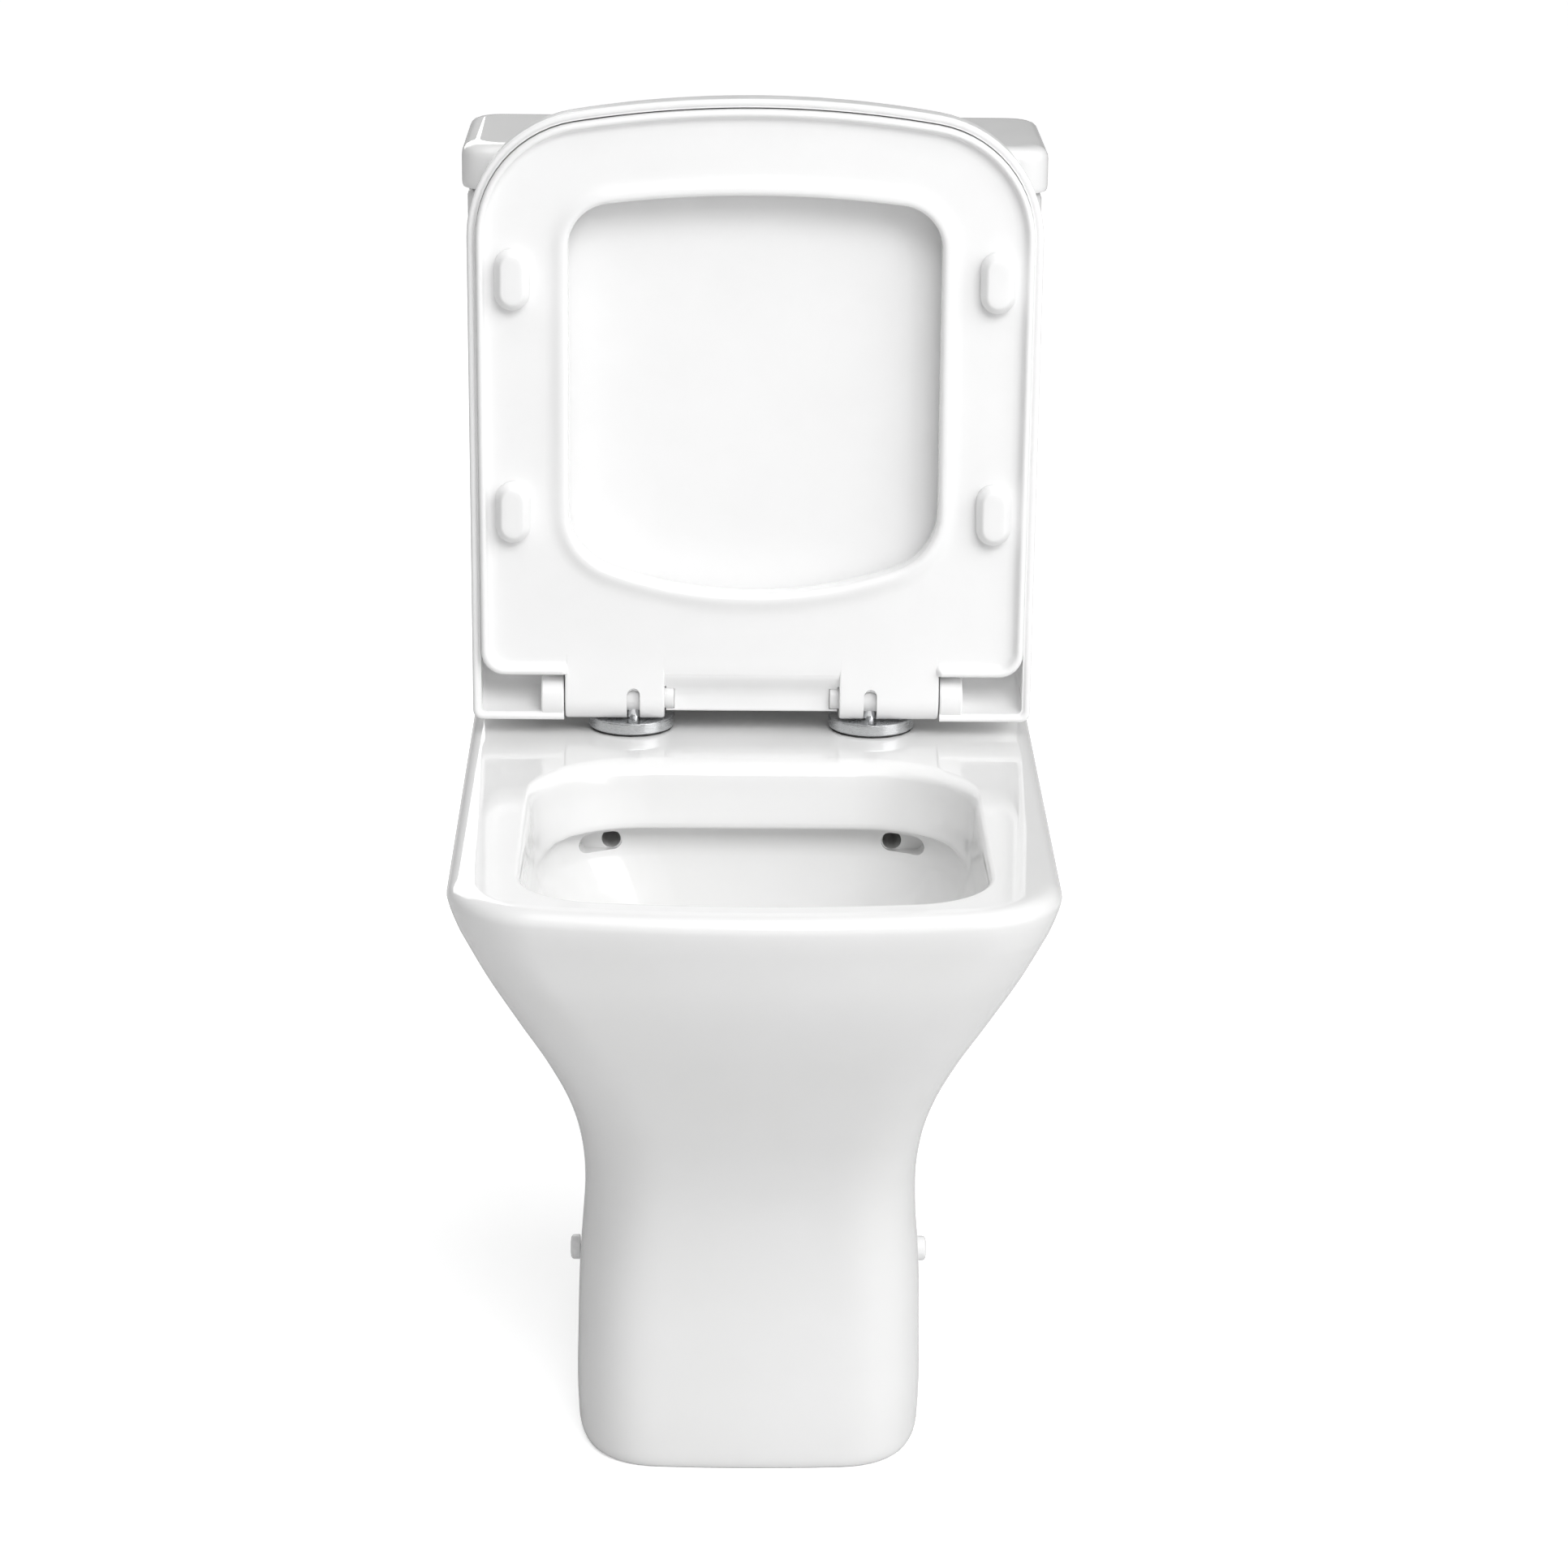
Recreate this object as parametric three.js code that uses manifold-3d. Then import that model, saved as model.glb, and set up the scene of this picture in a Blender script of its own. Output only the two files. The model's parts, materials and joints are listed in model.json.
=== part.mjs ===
// Close coupled toilet: a china pan and cistern, a dual flush valve, a fill valve,
// and a raised soft-close seat and lid.
// Millimetres, +Z up. The floor is z = 0, the toilet faces -Y and x = 0 is its mirror plane.
// "left" is -X, the left of a person who looks at its front.
import * as THREE from 'three';
import { mergeVertices } from 'three/addons/utils/BufferGeometryUtils.js';
import Module from 'manifold-3d';

const wasm = await Module();
wasm.setup();

// ---------------------------------------------------------------- driving dimensions

const DEPTH = 575;                 // front of the rim to the back of the cistern lid
const DECK_Z = 403;                // top of the rim and of the hinge deck
const HINGE_Y = 92.5;              // axis of the seat and lid hinge
const HINGE_RISE = 24;             // hinge axis above the deck
const HINGE_Z = DECK_Z + HINGE_RISE;
const LEAN = 3;                    // degrees that the raised seat leans back past upright
const WALL = 12;                   // thickness of the cast china
const GAP = 0.3;                   // gap between pieces that rest on each other

const RIM = {
  halfWidth: 180.2, backHalf: 181.8, front: -DEPTH / 2, back: 284, cornerR: 64, frontR: 720, backR: 24,
};
const OPENING = { halfWidth: 136, reach: 352, rear: 78, cornerR: 50, frontR: 720 };
const SHELF_Z = 372;               // underside of the shelf that carries the cistern
const SPIGOT = { z: 180, y: 232, outerR: 51, boreR: 34 };

const TANK = { front: HINGE_Y + 59, back: 286, topHalf: 184, baseHalf: 182.3, z0: 406, z1: 741, wall: 10 };
const TANK_Y = (TANK.front + TANK.back) / 2;
const TANK_FLOOR_Z = TANK.z0 + WALL;
const TANK_LID = { halfWidth: 187.2, front: HINGE_Y + 56.5, back: DEPTH / 2, z0: 743.2, z1: 772.5 };

const SEAT = { halfWidth: 175.3, backHalf: 173.2, length: 377, rear: 16.5, top: 12, bottom: -18, recess: -12 };
const SEAT_HOLE = { halfWidth: 119, front: 318, rear: 57, cornerR: 30, rearR: 52 };
const LID = { halfWidth: 181, backHalf: 178.8, length: 383.3, rear: 14, top: 19.5, inner: 15, bottom: -12, wall: 4 };
const BARREL = { inner: 56, outer: 119.8, r: 14.3, boreR: 10 };
const KNUCKLE = { inner: 120.5, outer: 135, r: 14 };
const POST_X = 76;
const SLOT_WIDTH = 8.6;
const DISC = { x: 77.5, y: HINGE_Y + 12.5, r: 27.8, z0: DECK_Z + 1.5, z1: DECK_Z + 8.8 };

const COUPLING_X = 76;             // the two bolts that clamp the cistern to the pan
const VALVE_X = 130;               // fill valve, at the right of the cistern
const CAP = { y: -7.5, z: 86, r: 8 };   // side fixing of the foot
const BUTTON_X = 18.5;             // push rods, left and right of the lift tube

// ---------------------------------------------------------------- materials

function paint(color, roughness, metalness = 0) {
  return new THREE.MeshStandardMaterial({ color, roughness, metalness });
}

const CHINA = paint(0xf4f4f2, 0.12);
const SEAT_PLASTIC = paint(0xfafafa, 0.3);
const BUMPER_PLASTIC = paint(0xefefef, 0.55);
const GREY_PLASTIC = paint(0xd9dbdc, 0.45);
const VALVE_PLASTIC = paint(0xe9ebe8, 0.5);
const BLUE_PLASTIC = paint(0x5f8fb8, 0.5);
const STAINLESS = paint(0xb9bbbc, 0.32, 1);
const CHROME = paint(0xdadcde, 0.08, 1);
const ZINC = paint(0x9a9c9a, 0.45, 1);
const BLACK_RUBBER = paint(0x2b2b2b, 0.85);
const FOAM = paint(0x3a3a3a, 0.95);

// ---------------------------------------------------------------- solids

// A closed BufferGeometry as a solid that can be cut and joined.
function solid(geometry) {
  const bare = geometry.clone();
  bare.deleteAttribute('normal');
  bare.deleteAttribute('uv');
  const merged = mergeVertices(bare, 1e-4);
  return new wasm.Manifold(new wasm.Mesh({
    numProp: 3,
    vertProperties: new Float32Array(merged.attributes.position.array),
    triVerts: new Uint32Array(merged.index.array),
  }));
}

function geometryOf(manifold) {
  const mesh = manifold.getMesh();
  const geometry = new THREE.BufferGeometry();
  geometry.setAttribute('position', new THREE.BufferAttribute(mesh.vertProperties, 3));
  geometry.setIndex(new THREE.BufferAttribute(mesh.triVerts, 1));
  geometry.computeVertexNormals();
  return geometry;
}

function join(...solids) {
  return solids.reduce((whole, next) => whole.add(next));
}

function cut(whole, ...tools) {
  return tools.reduce((left, tool) => left.subtract(tool), whole);
}

function box(x0, x1, y0, y1, z0, z1) {
  const geometry = new THREE.BoxGeometry(x1 - x0, y1 - y0, z1 - z0);
  return solid(geometry.translate((x0 + x1) / 2, (y0 + y1) / 2, (z0 + z1) / 2));
}

// Upright cylinder or cone from z0 to z1.
function rod(x, y, r, z0, z1, sides = 16, topR = r) {
  const geometry = new THREE.CylinderGeometry(topR, r, z1 - z0, sides).rotateX(Math.PI / 2);
  return solid(geometry.translate(x, y, (z0 + z1) / 2));
}

// Cylinder along X from x0 to x1.
function rodX(y, z, r, x0, x1, sides = 20) {
  const [low, high] = [Math.min(x0, x1), Math.max(x0, x1)];
  const geometry = new THREE.CylinderGeometry(r, r, high - low, sides).rotateZ(Math.PI / 2);
  return solid(geometry.translate((low + high) / 2, y, z));
}

function rodY(x, z, r, y0, y1, sides = 24) {
  const geometry = new THREE.CylinderGeometry(r, r, y1 - y0, sides);
  return solid(geometry.translate(x, (y0 + y1) / 2, z));
}

// Upright hole whose flat facets all clear the radius r.
function bore(x, y, r, z0, z1, sides = 16) {
  return rod(x, y, r / Math.cos(Math.PI / sides), z0, z1, sides);
}

function ring(x, y, outerR, innerR, z0, z1, sides = 16) {
  return cut(rod(x, y, outerR, z0, z1, sides), bore(x, y, innerR, z0 - 1, z1 + 1, sides));
}

// Upright prism of a closed outline of Vector2 points.
function prism(points, z0, z1) {
  const geometry = new THREE.ExtrudeGeometry(new THREE.Shape(points), {
    depth: z1 - z0, bevelEnabled: false, curveSegments: 1,
  });
  return solid(geometry.translate(0, 0, z0));
}

// Round tube of one radius along a curve.
function pipe(curve, r, sides, steps) {
  const section = new THREE.Shape();
  section.absarc(0, 0, r, 0, 2 * Math.PI);
  return solid(new THREE.ExtrudeGeometry(section, {
    extrudePath: curve, steps, curveSegments: sides / 2, bevelEnabled: false,
  }));
}

// Closed skin through level outlines, each { z, points } with the same number of points.
function loft(levels) {
  const count = levels[0].points.length;
  const positions = [];
  const index = [];
  for (const { z, points } of levels) {
    for (const p of points) positions.push(p.x, p.y, z);
  }
  for (let level = 0; level + 1 < levels.length; level += 1) {
    for (let i = 0; i < count; i += 1) {
      const a = level * count + i;
      const b = level * count + ((i + 1) % count);
      index.push(a, b, b + count, a, b + count, a + count);
    }
  }
  const faces = THREE.ShapeUtils.triangulateShape(levels[0].points, []);
  const top = (levels.length - 1) * count;
  for (const [a, b, c] of faces) {
    index.push(a, c, b);
    index.push(top + a, top + b, top + c);
  }
  const geometry = new THREE.BufferGeometry();
  geometry.setAttribute('position', new THREE.Float32BufferAttribute(positions, 3));
  geometry.setIndex(index);
  return solid(geometry);
}

// ---------------------------------------------------------------- outlines

function arc(points, cx, cy, rx, ry, from, to, steps) {
  for (let i = 0; i <= steps; i += 1) {
    const angle = THREE.MathUtils.degToRad(from + (to - from) * i / steps);
    points.push(new THREE.Vector2(cx + rx * Math.cos(angle), cy + ry * Math.sin(angle)));
  }
}

// Outline with a wide front arc, two round front corners and two smaller back corners.
// It runs counter-clockwise from the middle of the front; the mirrored half repeats it.
function bowFrontOutline({ halfWidth, backHalf = halfWidth, front, back, cornerR, frontR, backR }) {
  const reach = Math.sqrt((frontR - cornerR) ** 2 - (halfWidth - cornerR) ** 2);
  const cornerY = front + frontR - reach;
  const turn = THREE.MathUtils.radToDeg(Math.asin((halfWidth - cornerR) / (frontR - cornerR)));
  const half = [];
  arc(half, 0, front + frontR, frontR, frontR, -90, -90 + turn, 3);
  half.pop();
  arc(half, halfWidth - cornerR, cornerY, cornerR, cornerR, -90 + turn, 0, 6);
  arc(half, backHalf - backR, back - backR, backR, backR, 0, 90, 4);
  half.push(new THREE.Vector2(0, back));
  const mirrored = half.slice(1, -1).reverse().map((p) => new THREE.Vector2(-p.x, p.y));
  return [...half, ...mirrored];
}

// Outline of a foot: elliptical front corners and a nearly straight front.
function footOutline(halfWidth, front, back) {
  const [cornerX, cornerY, bow, backR] = [46, 82, 2, 22];
  const half = [];
  for (let i = 0; i < 3; i += 1) {
    const t = i / 3;
    half.push(new THREE.Vector2(t * (halfWidth - cornerX), front + bow * t * t));
  }
  arc(half, halfWidth - cornerX, front + bow + cornerY, cornerX, cornerY, -90, 0, 6);
  arc(half, halfWidth - backR, back - backR, backR, backR, 0, 90, 4);
  half.push(new THREE.Vector2(0, back));
  const mirrored = half.slice(1, -1).reverse().map((p) => new THREE.Vector2(-p.x, p.y));
  return [...half, ...mirrored];
}

function rectangleOutline(halfWidth, front, back, r, steps = 4) {
  const points = [];
  arc(points, halfWidth - r, front + r, r, r, -90, 0, steps);
  arc(points, halfWidth - r, back - r, r, r, 0, 90, steps);
  arc(points, r - halfWidth, back - r, r, r, 90, 180, steps);
  arc(points, r - halfWidth, front + r, r, r, 180, 270, steps);
  return points;
}

// ---------------------------------------------------------------- pan

// Levels of the outer body: half width, front and back, and how much the outline is
// the rim's (1) rather than the foot's (0).
const BODY = [
  { z: 0, half: 103.8, front: -155, back: 126, rim: 0 },
  { z: 4, half: 106.2, front: -157.5, back: 129, rim: 0 },
  { z: 14, half: 107.3, front: -158.5, back: 130, rim: 0 },
  { z: 70, half: 107.4, front: -158.5, back: 130, rim: 0 },
  { z: 115, half: 106, front: -160, back: 131, rim: 0.02 },
  { z: 150, half: 103.3, front: -165, back: 133, rim: 0.06 },
  { z: 180, half: 102.7, front: -173, back: 136, rim: 0.14 },
  { z: 210, half: 105.4, front: -186, back: 141, rim: 0.26 },
  { z: 240, half: 112, front: -203, back: 148, rim: 0.42 },
  { z: 275, half: 125.4, front: -225, back: 157, rim: 0.62 },
  { z: 310, half: 142.5, front: -248, back: 166, rim: 0.8 },
  { z: 345, half: 159, front: -268, back: 174, rim: 0.93 },
  { z: SHELF_Z + 2, half: 171.5, front: -279, back: 178, rim: 1 },
];

// The rounded slab of the rim, which runs back as the cistern shelf.
const RIM_EDGE = [
  { z: SHELF_Z, inset: 9.4 },
  { z: 381, inset: 4.2 },
  { z: 388, inset: 0.9 },
  { z: 392.5, inset: 0 },
  { z: 397, inset: 1.2 },
  { z: 400.8, inset: 4.6 },
  { z: 402.4, inset: 8 },
  { z: DECK_Z, inset: 12 },
];

// Levels of the bowl: half width, reach to the front and to the rear from the hinge axis.
const BOWL = [
  { z: 96, half: 26, front: 172, rear: 118, cornerR: 24 },
  { z: 112, half: 36, front: 186, rear: 112, cornerR: 32 },
  { z: 150, half: 46, front: 200, rear: 106, cornerR: 38 },
  { z: 200, half: 62, front: 222, rear: 98, cornerR: 42 },
  { z: 250, half: 87, front: 258, rear: 88, cornerR: 46 },
  { z: 300, half: 112, front: 302, rear: 77, cornerR: 50 },
  { z: 335, half: 126, front: 332, rear: 68, cornerR: 50 },
  { z: 355, half: 132, front: 345, rear: 66, cornerR: 50 },
];
const LEDGE_Z = 361;               // lip of the rear wall that hides the flush outlets

function outerLevel({ z, half, front, back, rim }, inset = 0) {
  const width = { halfWidth: half - inset, backHalf: half - inset };
  const high = bowFrontOutline({ ...RIM, ...width, front: front + inset, back: back - inset });
  const low = footOutline(half - inset, front + inset, back - inset);
  return { z, points: low.map((p, i) => p.clone().lerp(high[i], rim)) };
}

function rimLevel({ z, inset }) {
  const { halfWidth, backHalf, front, back } = RIM;
  const width = { halfWidth: halfWidth - inset, backHalf: backHalf - inset };
  return { z, points: bowFrontOutline({ ...RIM, ...width, front: front + inset, back: back - inset }) };
}

function openingLevel(z, grow, rear = OPENING.rear) {
  return {
    z, points: bowFrontOutline({
      halfWidth: OPENING.halfWidth + grow,
      front: HINGE_Y - OPENING.reach - grow,
      back: HINGE_Y - rear + grow,
      cornerR: OPENING.cornerR + grow,
      frontR: OPENING.frontR,
      backR: OPENING.cornerR + grow,
    }),
  };
}

function bowlLevel({ z, half, front, rear, cornerR }, grow = 0) {
  return {
    z: z - grow, points: bowFrontOutline({
      halfWidth: half + grow,
      front: HINGE_Y - front - grow,
      back: HINGE_Y - rear + grow,
      cornerR: cornerR + grow,
      frontR: OPENING.frontR * (half + grow) / OPENING.halfWidth,
      backR: cornerR + grow,
    }),
  };
}

// The S-bend from the sump, over the weir and out through the spigot.
function trapCurve(end) {
  const route = [[-55, 140], [-20, 121], [25, 150], [55, 205], [92, 240], [130, 222], [160, 189],
    [195, SPIGOT.z], [end, SPIGOT.z]];
  return new THREE.CatmullRomCurve3(route.map(([y, z]) => new THREE.Vector3(0, y, z)));
}

// The water way from the flush chamber to one outlet under the ledge.
function duct(side, r, sides) {
  const way = new THREE.LineCurve3(
    new THREE.Vector3(18 * side, 176, 352), new THREE.Vector3(88 * side, 27, 352),
  );
  return pipe(way, r, sides, 1);
}

function panShell() {
  const body = join(
    loft(BODY.map((level) => outerLevel(level))),
    loft(RIM_EDGE.map(rimLevel)),
    box(-52, 52, 140, 262, 318, SHELF_Z + 2),
  );
  const inside = BODY.slice(0, -1).map((level) => outerLevel(level, WALL));
  inside[0].z = -2;
  inside.push({ z: SHELF_Z - 1, points: outerLevel(BODY.at(-1), WALL + 6).points });
  return cut(body, loft(inside));
}

function pan() {
  const waste = trapCurve(SPIGOT.y);
  const shell = join(
    panShell(),
    loft([...BOWL.map((level) => bowlLevel(level, 11)), openingLevel(DECK_Z - 4, 8)]),
    pipe(waste, SPIGOT.boreR + 10, 16, 16),
    rodY(0, SPIGOT.z, SPIGOT.outerR, SPIGOT.y - 52, SPIGOT.y),
    cut(box(-58, 58, 128, 262, 318, SHELF_Z + 2), box(-99, 99, 100, 150, 300, 340)),
    duct(-1, 18, 8),
    duct(1, 18, 8),
  );
  const bowl = join(
    loft([...BOWL.map((level) => bowlLevel(level)), openingLevel(LEDGE_Z - 1, 0, 68)]),
    loft([openingLevel(LEDGE_Z - 2, -1, 83), openingLevel(385, 0), openingLevel(395, 1),
      openingLevel(400, 4), openingLevel(DECK_Z + 1, 11)]),
  );
  const drain = join(pipe(trapCurve(SPIGOT.y + 5), SPIGOT.boreR, 14, 16), rodY(0, SPIGOT.z, 40, 200, 240));
  const chamber = join(box(-42, 42, 162, 252, 328, 384), rod(0, TANK_Y, 33, 380, DECK_Z + 1, 24),
    bore(0, TANK_Y, 47, 381, DECK_Z + 1, 20));
  const holes = [-1, 1].flatMap((side) => [
    duct(side, 8, 6),
    rodY(88 * side, 352, 6.5, 0, 34, 12),
    rod(DISC.x * side, DISC.y, 8.2, 360, DECK_Z + 1, 16),
    rod(COUPLING_X * side, TANK_Y, 6, 360, DECK_Z + 1, 12),
    rodX(CAP.y, CAP.z, 4, 80 * side, 110 * side, 12),
    box(side > 0 ? 106 : -190, side > 0 ? 190 : -106, 186, 290, 360, DECK_Z + 2),
  ]);
  return cut(shell, bowl, drain, chamber, ...holes);
}

// ---------------------------------------------------------------- fixings of the pan

function sideCap(side) {
  return join(
    rodX(CAP.y, CAP.z, CAP.r, 108 * side, 113 * side, 20),
    rodX(CAP.y, CAP.z, CAP.r - 1.6, 112.5 * side, 114.5 * side, 20),
  );
}

function sideScrew(side) {
  return rodX(CAP.y, CAP.z, 2.5, 70 * side, 107.6 * side, 12);
}

function floorBracket(side) {
  const [x0, xTab, x1] = side > 0 ? [56, 76, 86] : [-56, -76, -86];
  const span = (from, to, ...rest) => box(Math.min(from, to), Math.max(from, to), ...rest);
  const plate = join(
    span(x0, x1, CAP.y - 16, CAP.y + 16, 0, 5),
    span(xTab, x1, CAP.y - 12, CAP.y + 12, 4, 98),
  );
  return cut(plate, rodX(CAP.y, CAP.z, 3, x0, x1 + side, 12));
}

// ---------------------------------------------------------------- cistern

function tankLevel(z, halfWidth, inset, r = 22) {
  return { z, points: rectangleOutline(halfWidth - inset, TANK.front + inset, TANK.back - inset, r - inset) };
}

function tank() {
  const { topHalf, baseHalf, z0, z1, wall } = TANK;
  const outside = loft([
    tankLevel(z0, baseHalf, 8), tankLevel(z0 + 3, baseHalf, 2.5), tankLevel(z0 + 9, baseHalf, 0),
    tankLevel(z1 - 4, topHalf, 0), tankLevel(z1, topHalf, 2),
  ]);
  const inside = loft([
    tankLevel(TANK_FLOOR_Z, baseHalf, wall + 6), tankLevel(TANK_FLOOR_Z + 12, baseHalf, wall),
    tankLevel(z1 + 1, topHalf, wall),
  ]);
  return cut(
    outside, inside,
    bore(0, TANK_Y, 30, z0 - 1, TANK_FLOOR_Z + 1),
    rod(VALVE_X, TANK_Y, 11.5, z0 - 1, TANK_FLOOR_Z + 1, 16),
    ...[-1, 1].map((side) => rod(COUPLING_X * side, TANK_Y, 6, z0 - 1, TANK_FLOOR_Z + 1, 12)),
  );
}

function tankLidLevel(z, inset) {
  const { halfWidth, front, back } = TANK_LID;
  return { z, points: rectangleOutline(halfWidth - inset, front + inset, back - inset, 19 - inset * 0.5) };
}

function tankLid() {
  const { z0, z1 } = TANK_LID;
  const outside = loft([
    tankLidLevel(z0, 1.2), tankLidLevel(z0 + 2, 0), tankLidLevel(z1 - 9, 0), tankLidLevel(z1 - 4, 1.2),
    tankLidLevel(z1 - 1, 4), tankLidLevel(z1, 8),
  ]);
  const land = cut(
    loft([tankLidLevel(TANK.z1 + GAP, 6), tankLidLevel(z0 + 1, 6)]),
    loft([tankLidLevel(TANK.z1, 10), tankLidLevel(z0 + 2, 10)]),
  );
  const lip = cut(
    loft([tankLidLevel(TANK.z1 - 7, 17), tankLidLevel(z0 + 1, 17)]),
    loft([tankLidLevel(TANK.z1 - 8, 23), tankLidLevel(z0 + 2, 23)]),
  );
  return cut(
    join(outside, land, lip),
    loft([tankLidLevel(TANK.z1 - 8, 23), tankLidLevel(z0 + 12, 23)]),
    bore(0, TANK_Y, 26.6, z0, z1 + 1, 24),
  );
}

// ---------------------------------------------------------------- flush and fill valves

const TOWER_TOP = 646;

function hexNut(x, y, r, boreR, z0, z1) {
  return cut(rod(x, y, r, z0, z1, 6), bore(x, y, boreR, z0 - 1, z1 + 1));
}

function flushValveBody() {
  return cut(
    join(rod(0, TANK_Y, 29, 386, 423), rod(0, TANK_Y, 40, 421, 427), rod(0, TANK_Y, 29, 426, 432)),
    bore(0, TANK_Y, 23, 380, 440),
  );
}

function flushTower() {
  const wall = ring(0, TANK_Y, 34, 31, 432.4, TOWER_TOP - 5);
  const foot = ring(0, TANK_Y, 38, 31, 427.3, 434);
  const cap = cut(
    rod(0, TANK_Y, 36, TOWER_TOP - 6, TOWER_TOP),
    rod(0, TANK_Y, 16, TOWER_TOP - 8, TOWER_TOP + 1),
    ...[-1, 1].map((side) => rod(24 * side, TANK_Y, 4, TOWER_TOP - 8, TOWER_TOP + 1, 10)),
  );
  return cut(
    join(wall, foot, cap),
    box(-50, 50, TANK_Y - 12, TANK_Y + 12, 440, 486),
    box(-12, 12, TANK_Y - 50, TANK_Y + 50, 440, 486),
  );
}

function flushLiftTube() {
  return cut(
    join(rod(0, TANK_Y, 14, 436, 660), rod(0, TANK_Y, 28, 434.6, 439)),
    rod(0, TANK_Y, 11.5, 430, 665),
  );
}

function fillValveBody() {
  return cut(
    join(
      rod(VALVE_X, TANK_Y, 10.3, 374, 423),
      rod(VALVE_X, TANK_Y, 20, 421, 427),
      rod(VALVE_X, TANK_Y, 13, 426, 640),
    ),
    rod(VALVE_X, TANK_Y, 6, 370, 436, 12),
  );
}

function fillValveHead() {
  const [x, pinX] = [VALVE_X, VALVE_X - 18];
  return join(
    rod(x, TANK_Y, 20, 640.3, 664, 24, 17),
    box(pinX - 5, pinX + 5, TANK_Y - 8, TANK_Y - 4, 655, 680),
    box(pinX - 5, pinX + 5, TANK_Y + 4, TANK_Y + 8, 655, 680),
    box(pinX - 5, pinX + 5, TANK_Y - 8, TANK_Y + 8, 655, 663),
    rodY(pinX, 673, 2, TANK_Y - 6, TANK_Y + 6, 12),
  );
}

function floatCup() {
  return join(
    ring(VALVE_X, TANK_Y, 30, 14.5, 560, 618),
    rod(VALVE_X + 24, TANK_Y, 2, 617, 668, 10),
  );
}

function floatArm() {
  const pinX = VALVE_X - 18;
  return cut(
    box(pinX - 4, VALVE_X + 27, TANK_Y - 3, TANK_Y + 3, 669, 677),
    rodY(pinX, 673, 2.5, TANK_Y - 5, TANK_Y + 5, 12),
  );
}

function couplingBolt(side) {
  const x = COUPLING_X * side;
  return join(rod(x, TANK_Y, 4, 346, 424, 14), rod(x, TANK_Y, 9, 423, 429, 6));
}

function wingNut(side) {
  const x = COUPLING_X * side;
  const wings = [-1, 1].map((way) => box(x - 1.6, x + 1.6, TANK_Y + way * 13 - 6, TANK_Y + way * 13 + 6, 352, 367));
  return cut(join(rod(x, TANK_Y, 9, 356, 371.5, 16), ...wings), rod(x, TANK_Y, 4.4, 340, 380, 14));
}

// ---------------------------------------------------------------- dual flush button

function buttonHousing() {
  const flange = rod(0, TANK_Y, 30, TANK_LID.z1 + GAP, TANK_LID.z1 + 2.8, 24);
  return cut(join(flange, rod(0, TANK_Y, 26, 738, TANK_LID.z1 + 1)), bore(0, TANK_Y, 23.5, 730, 780, 24));
}

// A button is the part of the disc on one side of the split, with its push rod below it.
const BUTTON_SPLIT = -5;

function button(side) {
  const disc = rod(0, TANK_Y, 23, 764, TANK_LID.z1 + 2.3, 24);
  const edge = BUTTON_SPLIT + 0.5 * side;
  const keep = side > 0 ? box(edge, 40, 150, 290, 750, 790) : box(-40, edge, 150, 290, 750, 790);
  return disc.intersect(keep);
}

// ---------------------------------------------------------------- hinges

function hingeBase(side) {
  const bolt = DISC.x * side;
  return cut(
    join(rod(bolt, DISC.y, DISC.r, DISC.z0, DISC.z1 - 1, 24),
      rod(bolt, DISC.y, DISC.r, DISC.z1 - 1, DISC.z1, 24, DISC.r - 1)),
    rod(bolt, DISC.y, 3.4, DISC.z0 - 1, DISC.z1 + 1, 12),
    rod(bolt, DISC.y, 7, DISC.z1 - 3.6, DISC.z1 + 1, 16),
    rod(POST_X * side, HINGE_Y, 4.2, DISC.z0 - 1, DISC.z1 + 1, 16),
  );
}

function hingeBolt(side) {
  const x = DISC.x * side;
  return join(rod(x, DISC.y, 3, 362, DISC.z1 - 1, 12), rod(x, DISC.y, 6.6, DISC.z1 - 3.2, DISC.z1 - 0.6, 16));
}

function hingePost(side) {
  return rod(POST_X * side, HINGE_Y, 3.8, DECK_Z + 1.6, HINGE_Z + 2, 16);
}

function damper(side) {
  return cut(
    join(rodX(HINGE_Y, HINGE_Z, 9.5, 56.6 * side, 119.4 * side), rodX(HINGE_Y, HINGE_Z, 8, 50 * side, 58 * side)),
    rod(POST_X * side, HINGE_Y, 4.2, HINGE_Z - 20, HINGE_Z + 2.4, 16),
    rodX(HINGE_Y, HINGE_Z, 5.3, 104 * side, 121 * side, 16),
  );
}

// ---------------------------------------------------------------- seat and lid, drawn closed
// Their frame has its origin on the hinge axis: -Y is forward and the deck is at z = -HINGE_RISE.

function seatOutline(inset) {
  return bowFrontOutline({
    halfWidth: SEAT.halfWidth - inset, backHalf: SEAT.backHalf - inset,
    front: inset - SEAT.length, back: -SEAT.rear - inset,
    cornerR: 73 - inset, frontR: 700, backR: 15 - inset * 0.5,
  });
}

function holeOutline(grow) {
  return bowFrontOutline({
    halfWidth: SEAT_HOLE.halfWidth + grow, front: -SEAT_HOLE.front - grow, back: grow - SEAT_HOLE.rear,
    cornerR: SEAT_HOLE.cornerR + grow, frontR: 900, backR: SEAT_HOLE.rearR + grow,
  });
}

function barrel(side) {
  const [x0, x1] = side > 0 ? [BARREL.inner, BARREL.outer] : [-BARREL.outer, -BARREL.inner];
  return join(
    rodX(0, 0, BARREL.r, x0, x1, 28),
    box(x0, x1, -SEAT.rear - 4, -4, -13, SEAT.top),
  );
}

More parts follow.
